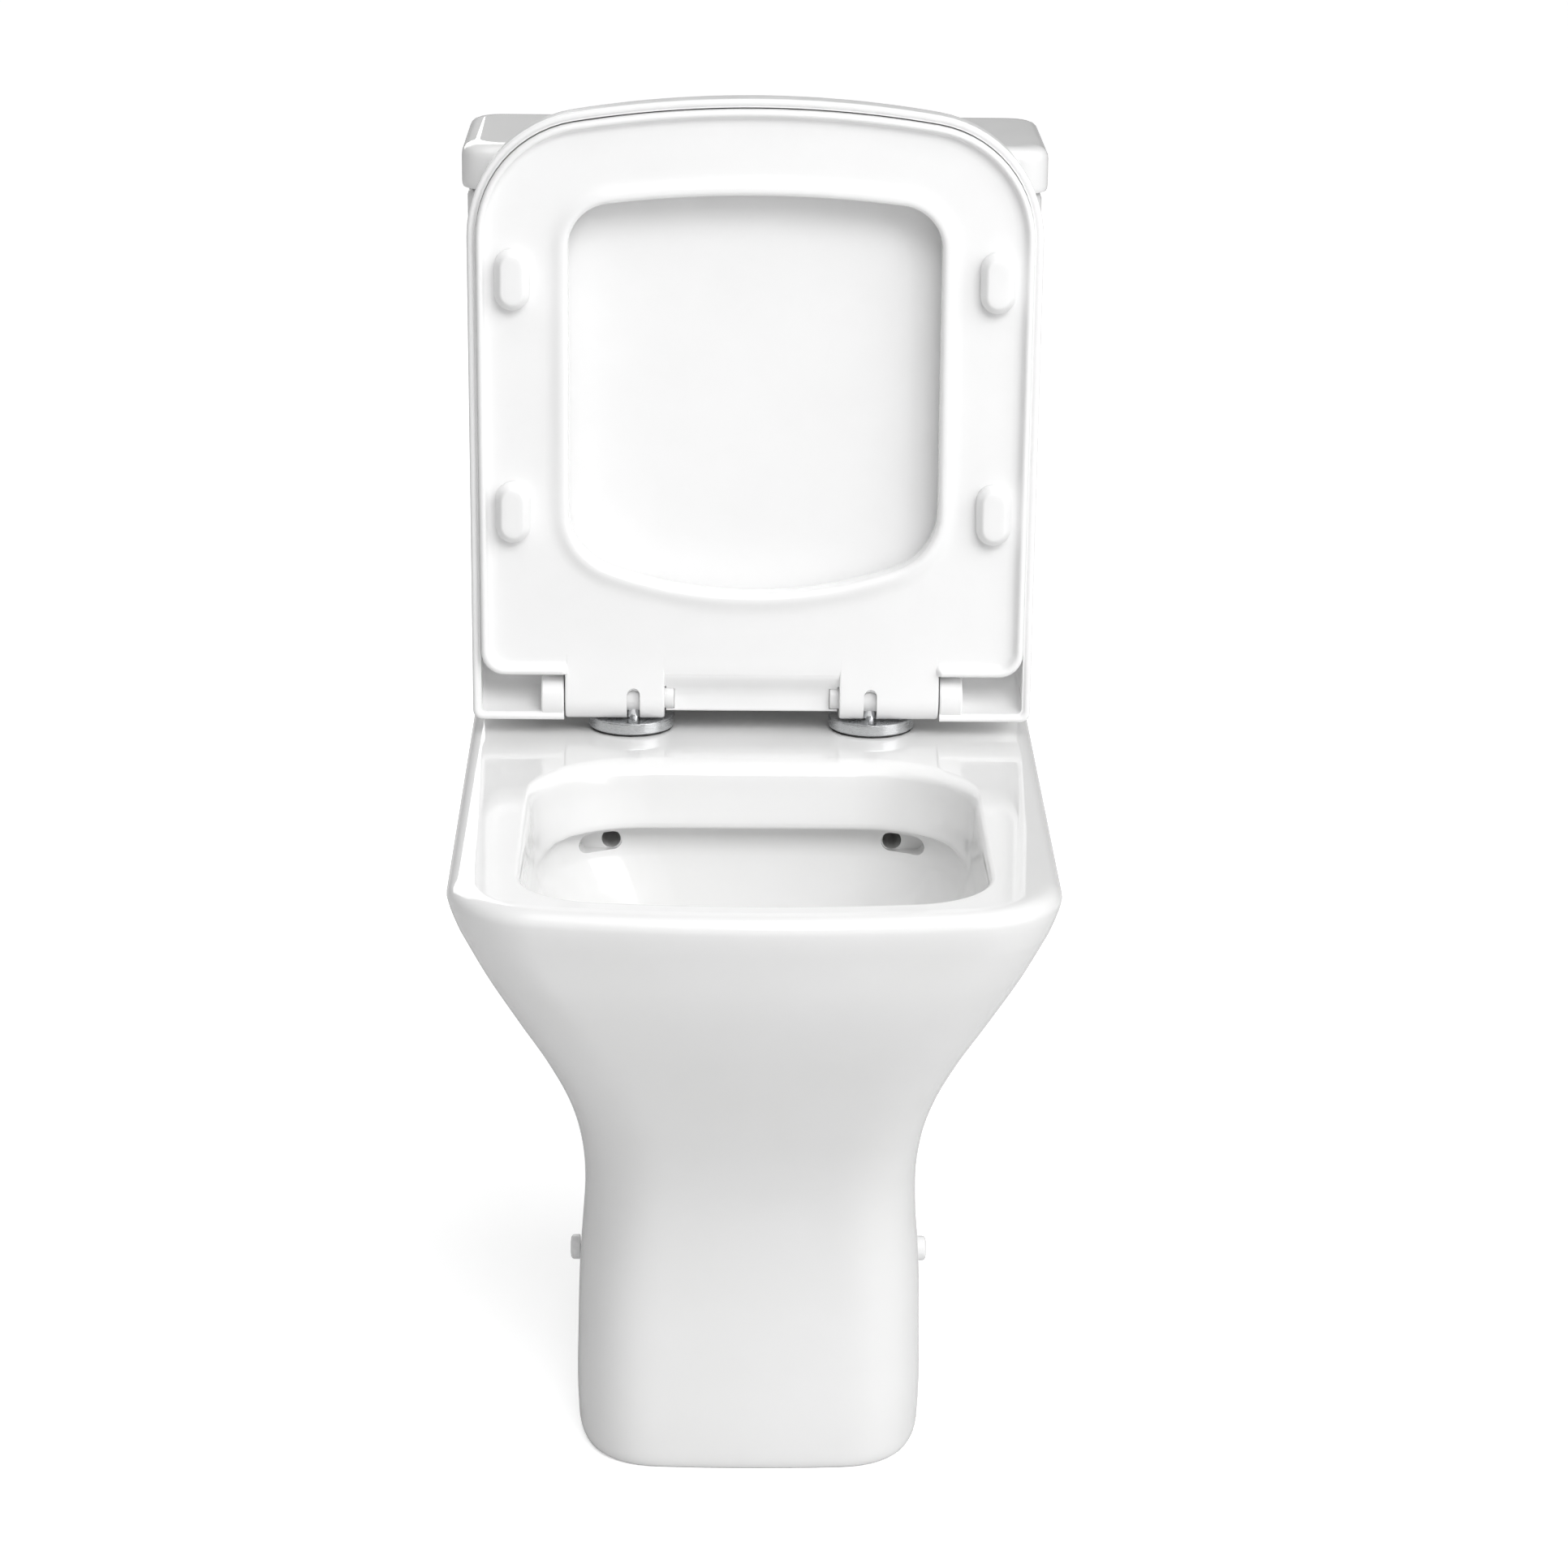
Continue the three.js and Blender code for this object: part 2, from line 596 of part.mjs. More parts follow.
// The way for the post through the barrel, from behind the axis (raised) to under it (closed).
function postSlot(side) {
  const outline = [new THREE.Vector2(0, 0)];
  arc(outline, 0, 0, 22, 22, -112, LEAN + 22, 10);
  const sector = new THREE.ExtrudeGeometry(new THREE.Shape(outline), {
    depth: SLOT_WIDTH, bevelEnabled: false,
  });
  sector.rotateX(Math.PI / 2).rotateZ(Math.PI / 2);
  return solid(sector.translate(POST_X * side - SLOT_WIDTH / 2, 0, 0));
}

function seat() {
  const ringBody = cut(
    prism(seatOutline(0), SEAT.bottom, SEAT.top),
    prism(holeOutline(0), SEAT.bottom - 1, SEAT.top + 1),
    cut(prism(seatOutline(5), SEAT.bottom - 1, SEAT.recess), prism(holeOutline(9), SEAT.bottom - 2, 0)),
  );
  const web = box(-57, 57, -22, 9.6, -1.6, SEAT.top);
  const bores = [-1, 1].flatMap((side) => [
    rodX(0, 0, BARREL.boreR, 55 * side, 121 * side),
    rodX(0, 0, 8.6, 49.4 * side, 57 * side),
    postSlot(side),
  ]);
  return cut(join(ringBody, web, barrel(-1), barrel(1)), ...bores);
}

function seatBumper(side, reach) {
  const [x, halfLong, r] = [153 * side, 9, 11];
  const outline = [];
  arc(outline, x, -reach - halfLong, r, r, 180, 360, 8);
  arc(outline, x, -reach + halfLong, r, r, 0, 180, 8);
  return prism(outline, GAP - HINGE_RISE, SEAT.recess - GAP);
}

function lidOutline(inset) {
  return bowFrontOutline({
    halfWidth: LID.halfWidth - inset, backHalf: LID.backHalf - inset,
    front: inset - LID.length, back: LID.rear - inset,
    cornerR: 79 - inset, frontR: 700, backR: 6 - inset * 0.5,
  });
}

function knuckle(side) {
  const [x0, x1] = side > 0 ? [KNUCKLE.inner, KNUCKLE.outer] : [-KNUCKLE.outer, -KNUCKLE.inner];
  return cut(
    join(rodX(0, 0, KNUCKLE.r, x0, x1, 28), box(x0, x1, -12, 12, 2, LID.inner + 1)),
    rodX(0, 0, 5.4, 110 * side, 131 * side, 16),
  );
}

function lid() {
  const shell = cut(
    join(
      prism(lidOutline(0), LID.bottom, LID.top - 2),
      prism(lidOutline(2.2), LID.top - 3, LID.top),
    ),
    prism(lidOutline(LID.wall), LID.bottom - 1, LID.inner),
    box(-KNUCKLE.inner, KNUCKLE.inner, 8, 20, LID.bottom - 1, LID.top + 1),
  );
  return join(shell, knuckle(-1), knuckle(1));
}

function lidBumper(side) {
  return rod(118 * side, -352, 8, SEAT.top + GAP, LID.inner - GAP, 16);
}

function damperSpindle(side) {
  return rodX(0, 0, 5, 106 * side, 130 * side, 16);
}

// ---------------------------------------------------------------- the assembly

const toilet = new THREE.Group();
const raised = new THREE.Group();
raised.position.set(0, HINGE_Y, HINGE_Z);
raised.rotation.x = THREE.MathUtils.degToRad(-90 - LEAN);
toilet.add(raised);

function place(name, shape, material, parent = toilet) {
  const mesh = new THREE.Mesh(geometryOf(shape), material);
  mesh.name = name;
  parent.add(mesh);
}

place('pan', pan(), CHINA);
place('tank', tank(), CHINA);
place('tank_lid', tankLid(), CHINA);
place('coupling_gasket', ring(0, TANK_Y, 46.4, 40.5, 381.3, TANK.z0 - GAP, 20), FOAM);

place('flush_valve_body', flushValveBody(), VALVE_PLASTIC);
place('flush_valve_washer', ring(0, TANK_Y, 39, 30, TANK_FLOOR_Z + GAP, 420.7), BLACK_RUBBER);
place('flush_valve_backnut', hexNut(0, TANK_Y, 38, 29.4, 390, TANK.z0 - GAP), VALVE_PLASTIC);
place('flush_tower', flushTower(), VALVE_PLASTIC);
place('flush_lift_tube', flushLiftTube(), BLUE_PLASTIC);
place('flush_seal', ring(0, TANK_Y, 27, 13, 432.4, 434.3), BLACK_RUBBER);

place('fill_valve_body', fillValveBody(), VALVE_PLASTIC);
place('fill_valve_washer', ring(VALVE_X, TANK_Y, 19, 11, TANK_FLOOR_Z + GAP, 420.7, 20), BLACK_RUBBER);
place('fill_valve_backnut', hexNut(VALVE_X, TANK_Y, 17, 10.7, 394, TANK.z0 - GAP), VALVE_PLASTIC);
place('fill_valve_head', fillValveHead(), VALVE_PLASTIC);
place('float_cup', floatCup(), BLUE_PLASTIC);
place('float_arm', floatArm(), VALVE_PLASTIC);

place('button_housing', buttonHousing(), CHROME);
place('button_nut', ring(0, TANK_Y, 33, 26.4, 748, TANK_LID.z0 + 12 - GAP, 12), VALVE_PLASTIC);
place('button_full', button(1), CHROME);
place('button_half', button(-1), CHROME);
place('push_rod_full', rod(BUTTON_X, TANK_Y, 2.5, TOWER_TOP + 7, 763.7, 10), VALVE_PLASTIC);
place('push_rod_half', rod(-BUTTON_X, TANK_Y, 2.5, TOWER_TOP + 7, 763.7, 10), VALVE_PLASTIC);

for (const [side, hand] of [[-1, 'left'], [1, 'right']]) {
  const x = DISC.x * side;
  place(`coupling_bolt_${hand}`, couplingBolt(side), ZINC);
  place(`coupling_washer_${hand}`,
    ring(COUPLING_X * side, TANK_Y, 13, 4.4, TANK_FLOOR_Z + GAP, 422.7, 16), BLACK_RUBBER);
  place(`coupling_wingnut_${hand}`, wingNut(side), ZINC);
  place(`side_cap_${hand}`, sideCap(side), SEAT_PLASTIC);
  place(`side_screw_${hand}`, sideScrew(side), ZINC);
  place(`floor_bracket_${hand}`, floorBracket(side), GREY_PLASTIC);
  place(`hinge_base_${hand}`, hingeBase(side), STAINLESS);
  place(`hinge_pad_${hand}`, ring(x, DISC.y, 26.8, 8.6, DECK_Z + GAP, DISC.z0 - GAP), BLACK_RUBBER);
  place(`hinge_bolt_${hand}`, hingeBolt(side), ZINC);
  place(`hinge_anchor_${hand}`, ring(x, DISC.y, 7.8, 3.4, 371, DECK_Z + 1.2, 16), BLACK_RUBBER);
  place(`hinge_nut_${hand}`, hexNut(x, DISC.y, 7, 3.4, 364, 370.7), ZINC);
  place(`hinge_post_${hand}`, hingePost(side), CHROME);
  place(`damper_${hand}`, damper(side), GREY_PLASTIC);
  place(`damper_spindle_${hand}`, damperSpindle(side), GREY_PLASTIC, raised);
  place(`lid_bumper_${hand}`, lidBumper(side), BUMPER_PLASTIC, raised);
  place(`seat_bumper_front_${hand}`, seatBumper(side, 270), BUMPER_PLASTIC, raised);
  place(`seat_bumper_rear_${hand}`, seatBumper(side, 122), BUMPER_PLASTIC, raised);
}
place('seat', seat(), SEAT_PLASTIC, raised);
place('lid', lid(), SEAT_PLASTIC, raised);

export default toilet;
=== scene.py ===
"""Looks of the close coupled toilet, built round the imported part.

Lengths are in millimetres until a mesh is made. +Z is up, -Y is the front, +X is the viewer's right.
The seat and lid are drawn closed, with their origin on the hinge axis, and then raised.
"""

import json
import math

import bmesh
import bpy
import numpy as np
from mathutils import Matrix, Vector


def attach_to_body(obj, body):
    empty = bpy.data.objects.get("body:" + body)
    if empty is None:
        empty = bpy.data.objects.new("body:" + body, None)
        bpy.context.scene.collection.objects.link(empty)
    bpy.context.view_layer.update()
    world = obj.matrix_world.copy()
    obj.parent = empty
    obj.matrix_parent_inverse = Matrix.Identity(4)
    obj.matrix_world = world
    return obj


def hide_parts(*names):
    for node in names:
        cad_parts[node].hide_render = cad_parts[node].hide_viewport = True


MM = 0.001

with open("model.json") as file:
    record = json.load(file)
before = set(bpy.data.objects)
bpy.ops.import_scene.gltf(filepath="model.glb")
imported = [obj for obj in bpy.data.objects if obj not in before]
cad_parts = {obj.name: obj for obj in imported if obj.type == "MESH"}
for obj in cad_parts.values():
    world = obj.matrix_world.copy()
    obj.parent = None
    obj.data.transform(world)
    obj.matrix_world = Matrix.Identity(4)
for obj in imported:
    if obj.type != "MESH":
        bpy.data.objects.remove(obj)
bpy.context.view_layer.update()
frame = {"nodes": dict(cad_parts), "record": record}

# ---------------------------------------------------------------- driving dimensions

HINGE_Y = 92.5                  # the axis that the seat and lid turn about
HINGE_Z = 427
LEAN = 3                        # degrees past upright of the raised seat
WALL = 12                       # thickness of the china

RIM = {"half": 179.3, "back_half": 181.8, "front": -287.5, "corner": 64, "bow": 720}
SHELF = {"start": 186, "half": 106, "back": 284, "corner": 22, "notch": 10}
OPENING = {"half": 136, "front": 352, "rear": 78, "corner": 50, "bow": 720}

# Levels of the outer body: height, half width, front, back, and how much the outline is
# the rim's (1) rather than the foot's (0).
BODY = [
    (0, 103.8, -155, 126, 0),
    (1.5, 105.4, -156.6, 128, 0),
    (5, 106.6, -157.8, 129.4, 0),
    (14, 107.3, -158.5, 130, 0),
    (70, 107.4, -158.5, 130, 0),
    (115, 106, -160, 131, 0.02),
    (150, 103.3, -165, 133, 0.06),
    (180, 102.7, -173, 136, 0.14),
    (210, 105.4, -186, 141, 0.26),
    (240, 112, -203, 148, 0.42),
    (275, 125.4, -225, 157, 0.62),
    (310, 142.5, -248, 166, 0.8),
    (345, 159, -268, 174, 0.93),
    (368, 169.2, -277.8, 178, 1),
]

# Rounded edge of the rim and shelf: height and inset.
RIM_EDGE = [
    (374, 7.2), (380, 4.6), (386, 2.3), (391, 0.7), (395.5, 0), (399.6, 2.2), (402.2, 6.6), (403, 12),
]

# Levels of the bowl: height, half width, reach to front and to rear from the hinge axis, corner.
BOWL = [
    (190, 58, 216, 103.5, 41),
    (215, 69, 231, 97, 43),
    (250, 87, 258, 88, 46),
    (300, 112, 302, 77, 50),
    (335, 126, 332, 69.5, 50),
]

TONGUE = {"y": -6, "z": 190, "r": 5}      # lip at the back of the sump that the trap turns under

SEAT = {"half": 175.3, "back_half": 173.2, "length": 377, "rear": 16.5, "top": 12, "under": -12}
HOLE = {"half": 117.5, "front": 323, "rear": 69, "corner": 28, "bow": 750, "back_corner": 40, "back_bow": 275}
LID = {"half": 181, "back_half": 178.8, "length": 383.3, "rear": 14, "top": 19.5, "inner": 15, "bottom": -12}

TANK = {"front": 151.5, "back": 286, "top_half": 184, "base_half": 182.3, "z0": 406, "z1": 741}
TANK_Y = (TANK["front"] + TANK["back"]) / 2
TANK_LID = {"half": 187.2, "front": 149, "back": 287.5, "z0": 743.2, "z1": 772.5}

POST_X = 76
DISC = {"x": 77.5, "y": 105, "r": 27.8, "z0": 404.5, "z1": 411.8}
OUTLET = {"x": 89, "z": 352, "r": 6}


# ---------------------------------------------------------------- outlines and skins

def arc(cx, cy, rx, ry, start, end, steps):
    angles = np.radians(np.linspace(start, end, steps + 1))
    return np.column_stack([cx + rx * np.cos(angles), cy + ry * np.sin(angles)])


def line(start, end, steps):
    return np.linspace(start, end, steps + 1)


def smoothstep(low, high, value):
    t = np.clip((value - low) / (high - low), 0, 1)
    return t * t * (3 - 2 * t)


def mirror_half(pieces):
    """Joins the pieces of a right half outline, drops repeated ends and adds the left half."""
    half = [pieces[0]] + [piece[1:] for piece in pieces[1:]]
    half = np.vstack(half)
    left = half[1:-1][::-1] * [-1, 1]
    return np.vstack([half, left])


# How the 31 steps of a back edge are shared out: like the shelf's edge, or close at the hinge barrels.
SHELF_SPLIT = [(0, 0.42, 6), (0.42, 0.44, 5), (0.44, 0.48, 6), (0.48, 0.5, 6), (0.5, 1, 8)]
SEAT_SPLIT = [(0, 0.215, 5), (0.215, 0.26, 9), (0.26, 1, 17)]


def back_line(x0, y0, x1, y1, split=SHELF_SPLIT):
    start, end = np.array([x0, y0]), np.array([x1, y1])
    return [line(start + (end - start) * a, start + (end - start) * b, n) for a, b, n in split]


def front_pieces(half, front, corner, bow):
    reach = math.sqrt((bow - corner) ** 2 - (half - corner) ** 2)
    turn = math.degrees(math.asin((half - corner) / (bow - corner)))
    corner_y = front + bow - reach
    return [
        arc(0, front + bow, bow, bow, -90, -90 + turn, 12),
        arc(half - corner, corner_y, corner, corner, -90 + turn, 0, 14),
    ]


def bow_outline(
    half, front, back, corner, bow, back_corner, back_half=None, back_bow=None, split=SHELF_SPLIT,
):
    """Wide front arc, two round front corners, two back corners and a straight or bowed back."""
    back_half = half if back_half is None else back_half
    pieces = front_pieces(half, front, corner, bow)
    if back_bow is None:
        rear = arc(back_half - back_corner, back - back_corner, back_corner, back_corner, 0, 90, 8)
        across = back_line(*rear[-1], 0, back, split)
    else:
        reach = math.sqrt((back_bow - back_corner) ** 2 - (back_half - back_corner) ** 2)
        turn = math.degrees(math.asin((back_half - back_corner) / (back_bow - back_corner)))
        corner_y = back - back_bow + reach
        rear = arc(back_half - back_corner, corner_y, back_corner, back_corner, 0, 90 - turn, 8)
        across = [arc(0, back - back_bow, back_bow, back_bow, 90 - turn, 90, 31)]
    side = line(pieces[-1][-1], rear[0], 16)
    return mirror_half(pieces + [side, rear] + across)


def bezier(a, b, c, d, steps):
    t = np.linspace(0, 1, steps + 1)[:, None]
    a, b, c, d = np.array([a, b, c, d], float)
    return a * (1 - t) ** 3 + 3 * b * t * (1 - t) ** 2 + 3 * c * t * t * (1 - t) + d * t ** 3


def foot_outline(half, front, back):
    """Long soft front corners and a nearly straight front."""
    corner_x, corner_y, bow, back_corner = 48, 82, 2, 22
    t = np.linspace(0, 1, 13)
    flat = np.column_stack([t * (half - corner_x), front + bow * t * t])
    x, y = flat[-1]
    ahead, behind = (x + corner_x * 0.74, y + bow), (half, y + corner_y * 0.42)
    corner = bezier((x, y), ahead, behind, (half, y + corner_y), 14)
    rear = arc(half - back_corner, back - back_corner, back_corner, back_corner, 0, 90, 8)
    side = line(corner[-1], rear[0], 16)
    return mirror_half([flat, corner, side, rear] + back_line(*rear[-1], 0, back))


def shelf_outline(inset):
    """The rim with the narrower shelf that carries the cistern behind it."""
    half, back_half = RIM["half"] - inset, RIM["back_half"] - inset
    start, side_x = SHELF["start"] - inset, SHELF["half"] - inset
    back = SHELF["back"] - inset
    notch = SHELF["notch"] + inset
    r, back_r = max(14 - inset * 0.5, 4), SHELF["corner"] - inset * 0.5
    pieces = front_pieces(half, RIM["front"] + inset, RIM["corner"] - inset, RIM["bow"])
    ear = arc(back_half - r, start - r, r, r, 0, 90, 8)
    hollow = arc(side_x + notch, start + notch, notch, notch, -90, -180, 5)
    tail = arc(side_x - back_r, back - back_r, back_r, back_r, 0, 90, 6)
    return mirror_half(pieces + [
        line(pieces[-1][-1], ear[0], 16), ear, line(ear[-1], hollow[0], 6), hollow,
        line(hollow[-1], tail[0], 6), tail, line(tail[-1], (0, back), 8),
    ])


def body_outline(half, front, back, rim, inset=0):
    low = foot_outline(half - inset, front + inset, back - inset)
    corner = RIM["corner"] - 8 * float(smoothstep(140, 171, half))
    high = bow_outline(half - inset, front + inset, back - inset, corner, RIM["bow"], 24)
    return low * (1 - rim) + high * rim


def bowl_outline(half, front, rear, corner, grow=0):
    return bow_outline(
        half + grow, HINGE_Y - front - grow, HINGE_Y - rear + grow, corner + grow,
        OPENING["bow"] * (half + grow) / OPENING["half"], (corner + grow) * 1.35,
    )


def rectangle_outline(half, front, back, r, steps=10):
    corners = [
        arc(half - r, front + r, r, r, -90, 0, steps),
        arc(half - r, back - r, r, r, 0, 90, steps),
        arc(r - half, back - r, r, r, 90, 180, steps),
        arc(r - half, front + r, r, r, 180, 270, steps),
    ]
    return np.vstack(corners)


def level(outline, z):
    """A ring of 3-D points from a flat outline; z is one height or one for each point."""
    return np.column_stack([outline, np.broadcast_to(z, len(outline))])


def smooth_rows(rows, counts):
    """Passes a smooth curve through rows of numbers, with the given count of steps in each gap."""
    rows = np.array(rows, float)
    slopes = np.empty_like(rows)
    gaps = np.linalg.norm(np.diff(rows, axis=0), axis=1)[:, None]
    rates = np.diff(rows, axis=0) / gaps
    slopes[1:-1] = (rates[:-1] * gaps[1:] + rates[1:] * gaps[:-1]) / (gaps[:-1] + gaps[1:])
    slopes[0], slopes[-1] = rates[0], rates[-1]
    result = []
    for i, count in enumerate(np.broadcast_to(counts, len(rows) - 1)):
        for t in np.arange(count) / count:
            h = gaps[i, 0]
            result.append(
                rows[i] * (2 * t**3 - 3 * t**2 + 1) + slopes[i] * h * (t**3 - 2 * t**2 + t)
                + rows[i + 1] * (3 * t**2 - 2 * t**3) + slopes[i + 1] * h * (t**3 - t**2)
            )
    result.append(rows[-1])
    return np.array(result)


def skin(rings, ends="closed", flip=False):
    """Quads between matching rings. Ends are closed by a fan, left open, or joined in a loop."""
    count = len(rings[0])
    vertices = [point for ring in rings for point in ring]
    faces = []
    pairs = len(rings) if ends == "loop" else len(rings) - 1
    for row in range(pairs):
        a, b = row * count, ((row + 1) % len(rings)) * count
        for i in range(count):
            j = (i + 1) % count
            faces.append((a + i, a + j, b + j, b + i))
    if ends == "closed":
        for ring, start, turn in ((rings[0], 0, True), (rings[-1], (len(rings) - 1) * count, False)):
            middle = len(vertices)
            vertices.append(np.mean(ring, axis=0))
            for i in range(count):
                a, b = start + i, start + (i + 1) % count
                faces.append((b, a, middle) if turn else (a, b, middle))
    if flip:
        faces = [tuple(reversed(face)) for face in faces]
    return np.array(vertices, float), faces


def lathe(profile, centre, axis="z", steps=48, loop=False):
    """Turns (radius, height) pairs round an axis through centre. Radius 0 closes an end."""
    angles = np.linspace(0, 2 * math.pi, steps, endpoint=False)
    rings = []
    for radius, height in profile:
        u, v, w = radius * np.cos(angles), radius * np.sin(angles), np.full(steps, float(height))
        columns = {"z": (u, v, w), "x": (w, u, v), "y": (v, w, u)}[axis]
        rings.append(np.column_stack(columns) + np.array(centre))
    return skin(rings, "loop" if loop else "closed")


def raised(points):
    """Moves points drawn with the seat closed to where they are with it raised."""
    turn = math.radians(-90 - LEAN)
    x, y, z = np.asarray(points, float).T
    return np.column_stack([
        x,
        HINGE_Y + y * math.cos(turn) - z * math.sin(turn),
        HINGE_Z + y * math.sin(turn) + z * math.cos(turn),
    ])


# ---------------------------------------------------------------- objects

def new_object(name, shape, raise_it=False):
    vertices, faces = shape
    vertices = raised(vertices) if raise_it else vertices
    mesh = bpy.data.meshes.new(name)
    mesh.from_pydata((vertices * MM).tolist(), [], faces)
    b = bmesh.new()
    b.from_mesh(mesh)
    bmesh.ops.remove_doubles(b, verts=b.verts, dist=1e-6)
    bmesh.ops.recalc_face_normals(b, faces=b.faces)
    b.to_mesh(mesh)
    b.free()
    piece = bpy.data.objects.new(name, mesh)
    bpy.context.scene.collection.objects.link(piece)
    return piece


def combine(piece, operation, *tools, raise_tools=False):
    """Adds or cuts away tool shapes, and keeps the resulting mesh."""
    for shape in tools:
        tool = new_object("tool", shape, raise_tools)
        modifier = piece.modifiers.new("combine", "BOOLEAN")
        modifier.operation = operation
        modifier.solver = "EXACT"
        modifier.object = tool
        bpy.context.view_layer.update()
        graph = bpy.context.evaluated_depsgraph_get()
        mesh = bpy.data.meshes.new_from_object(piece.evaluated_get(graph))
        old = piece.data
        piece.modifiers.clear()
        piece.data = mesh
        bpy.data.meshes.remove(old)
        bpy.data.objects.remove(tool)
    return piece


def attach(piece, *shapes):
    """Adds closed shapes that are buried in the piece at one end."""
    whole = bmesh.new()
    whole.from_mesh(piece.data)
    for shape in shapes:
        extra = new_object("extra", shape)
        whole.from_mesh(extra.data)
        bpy.data.objects.remove(extra)
    whole.to_mesh(piece.data)
    whole.free()


def finish_piece(piece, material, body, nodes, sharp=32):
    mesh = piece.data
    mesh.materials.clear()
    mesh.materials.append(material)
    mesh.shade_smooth()
    mesh.set_sharp_from_angle(angle=math.radians(sharp))
    flats = piece.modifiers.new("flats", "WEIGHTED_NORMAL")
    flats.keep_sharp = True
    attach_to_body(piece, body)
    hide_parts(*nodes)
    return piece


# ---------------------------------------------------------------- materials

def new_material(name, **sockets):
    material = bpy.data.materials.new(name)
    material.use_nodes = True
    shader = material.node_tree.nodes["Principled BSDF"]
    for socket, value in sockets.items():
        shader.inputs[socket.replace("_", " ")].default_value = value
    return material, material.node_tree, shader


def noise(tree, scale, detail=3, roughness=0.5, stretch=(1, 1, 1)):
    place = tree.nodes.new("ShaderNodeTexCoord")
    mapping = tree.nodes.new("ShaderNodeMapping")
    mapping.inputs["Scale"].default_value = stretch
    texture = tree.nodes.new("ShaderNodeTexNoise")
    texture.inputs["Scale"].default_value = scale
    texture.inputs["Detail"].default_value = detail
    texture.inputs["Roughness"].default_value = roughness
    tree.links.new(place.outputs["Object"], mapping.inputs["Vector"])
    tree.links.new(mapping.outputs["Vector"], texture.inputs["Vector"])
    return texture.outputs["Fac"]


def spread(tree, value, low, high):
    """Turns a noise value into a number between low and high."""
    node = tree.nodes.new("ShaderNodeMapRange")
    node.inputs["From Min"].default_value = 0.3
    node.inputs["From Max"].default_value = 0.7
    node.inputs["To Min"].default_value = low
    node.inputs["To Max"].default_value = high
    tree.links.new(value, node.inputs["Value"])
    return node.outputs["Result"]


def tint(tree, value, dark, light):
    ramp = tree.nodes.new("ShaderNodeValToRGB")
    ramp.color_ramp.elements[0].position = 0.3
    ramp.color_ramp.elements[0].color = (*dark, 1)
    ramp.color_ramp.elements[1].position = 0.7
    ramp.color_ramp.elements[1].color = (*light, 1)
    tree.links.new(value, ramp.inputs["Fac"])
    return ramp.outputs["Color"]


def bump(tree, shader, value, distance, strength=1.0):
    node = tree.nodes.new("ShaderNodeBump")
    node.inputs["Strength"].default_value = strength
    node.inputs["Distance"].default_value = distance
    tree.links.new(value, node.inputs["Height"])
    tree.links.new(node.outputs["Normal"], shader.inputs["Normal"])


def glazed_china():
    material, tree, shader = new_material(
        "white_glazed_china", Coat_Weight=1.0, Coat_Roughness=0.02, Coat_IOR=1.5, Roughness=0.45,
    )
    cloud = noise(tree, 9, 4)
    tree.links.new(tint(tree, cloud, (0.85, 0.85, 0.845), (0.87, 0.87, 0.87)), shader.inputs["Base Color"])
    tree.links.new(spread(tree, noise(tree, 30, 3), 0.38, 0.52), shader.inputs["Roughness"])
    bump(tree, shader, noise(tree, 14, 1), 0.0004)
    return material


def moulded_plastic(name, dark, light, roughness, grain, depth):
    """Plain moulded plastic: a slight change of tone and gloss, and a fine surface grain."""
    material, tree, shader = new_material(name, Roughness=roughness)
    tree.links.new(tint(tree, noise(tree, 20, 3), dark, light), shader.inputs["Base Color"])
    gloss = spread(tree, noise(tree, 60, 4), roughness * 0.85, roughness * 1.15)
    tree.links.new(gloss, shader.inputs["Roughness"])
    bump(tree, shader, noise(tree, grain, 2), depth)
    return material


def metal(name, dark, light, roughness, stretch, depth, scale=700):
    """Metal with fine marks drawn out along one direction."""
    material, tree, shader = new_material(name, Metallic=1.0, Roughness=roughness)
    marks = noise(tree, scale, 3, 0.6, stretch)
    tree.links.new(tint(tree, marks, dark, light), shader.inputs["Base Color"])
    tree.links.new(spread(tree, marks, roughness * 0.75, roughness * 1.25), shader.inputs["Roughness"])
    bump(tree, shader, marks, depth)
    return material


def rubber(name, dark, light):
    material, tree, shader = new_material(name, Roughness=0.8)
    tree.links.new(tint(tree, noise(tree, 150, 4), dark, light), shader.inputs["Base Color"])
    tree.links.new(spread(tree, noise(tree, 300, 4), 0.7, 0.9), shader.inputs["Roughness"])
    bump(tree, shader, noise(tree, 900, 2), 0.00005)
    return material


CHINA = glazed_china()
SEAT_WHITE = moulded_plastic("white_seat_plastic", (0.9, 0.9, 0.9), (0.92, 0.92, 0.92), 0.22, 40, 0.00012)
BUMPER_WHITE = moulded_plastic("soft_white_plastic", (0.87, 0.87, 0.87), (0.9, 0.9, 0.9), 0.5, 400, 0.00004)
GREY = moulded_plastic("light_grey_plastic", (0.8, 0.8, 0.8), (0.84, 0.84, 0.84), 0.4, 300, 0.00004)
VALVE = moulded_plastic("valve_plastic", (0.78, 0.79, 0.76), (0.84, 0.85, 0.82), 0.42, 250, 0.00005)
BLUE = moulded_plastic("blue_plastic", (0.22, 0.4, 0.6), (0.28, 0.46, 0.66), 0.4, 250, 0.00005)
STEEL = metal("brushed_steel", (0.6, 0.61, 0.62), (0.68, 0.69, 0.7), 0.28, (0.04, 0.04, 1), 0.000001, 4000)
CHROME = metal("polished_chrome", (0.8, 0.81, 0.82), (0.86, 0.87, 0.88), 0.06, (1, 1, 1), 0.000002)
ZINC = metal("zinc_plate", (0.48, 0.49, 0.48), (0.62, 0.63, 0.6), 0.38, (0.3, 0.3, 0.3), 0.00003)
BLACK = rubber("black_rubber", (0.025, 0.025, 0.025), (0.045, 0.045, 0.045))
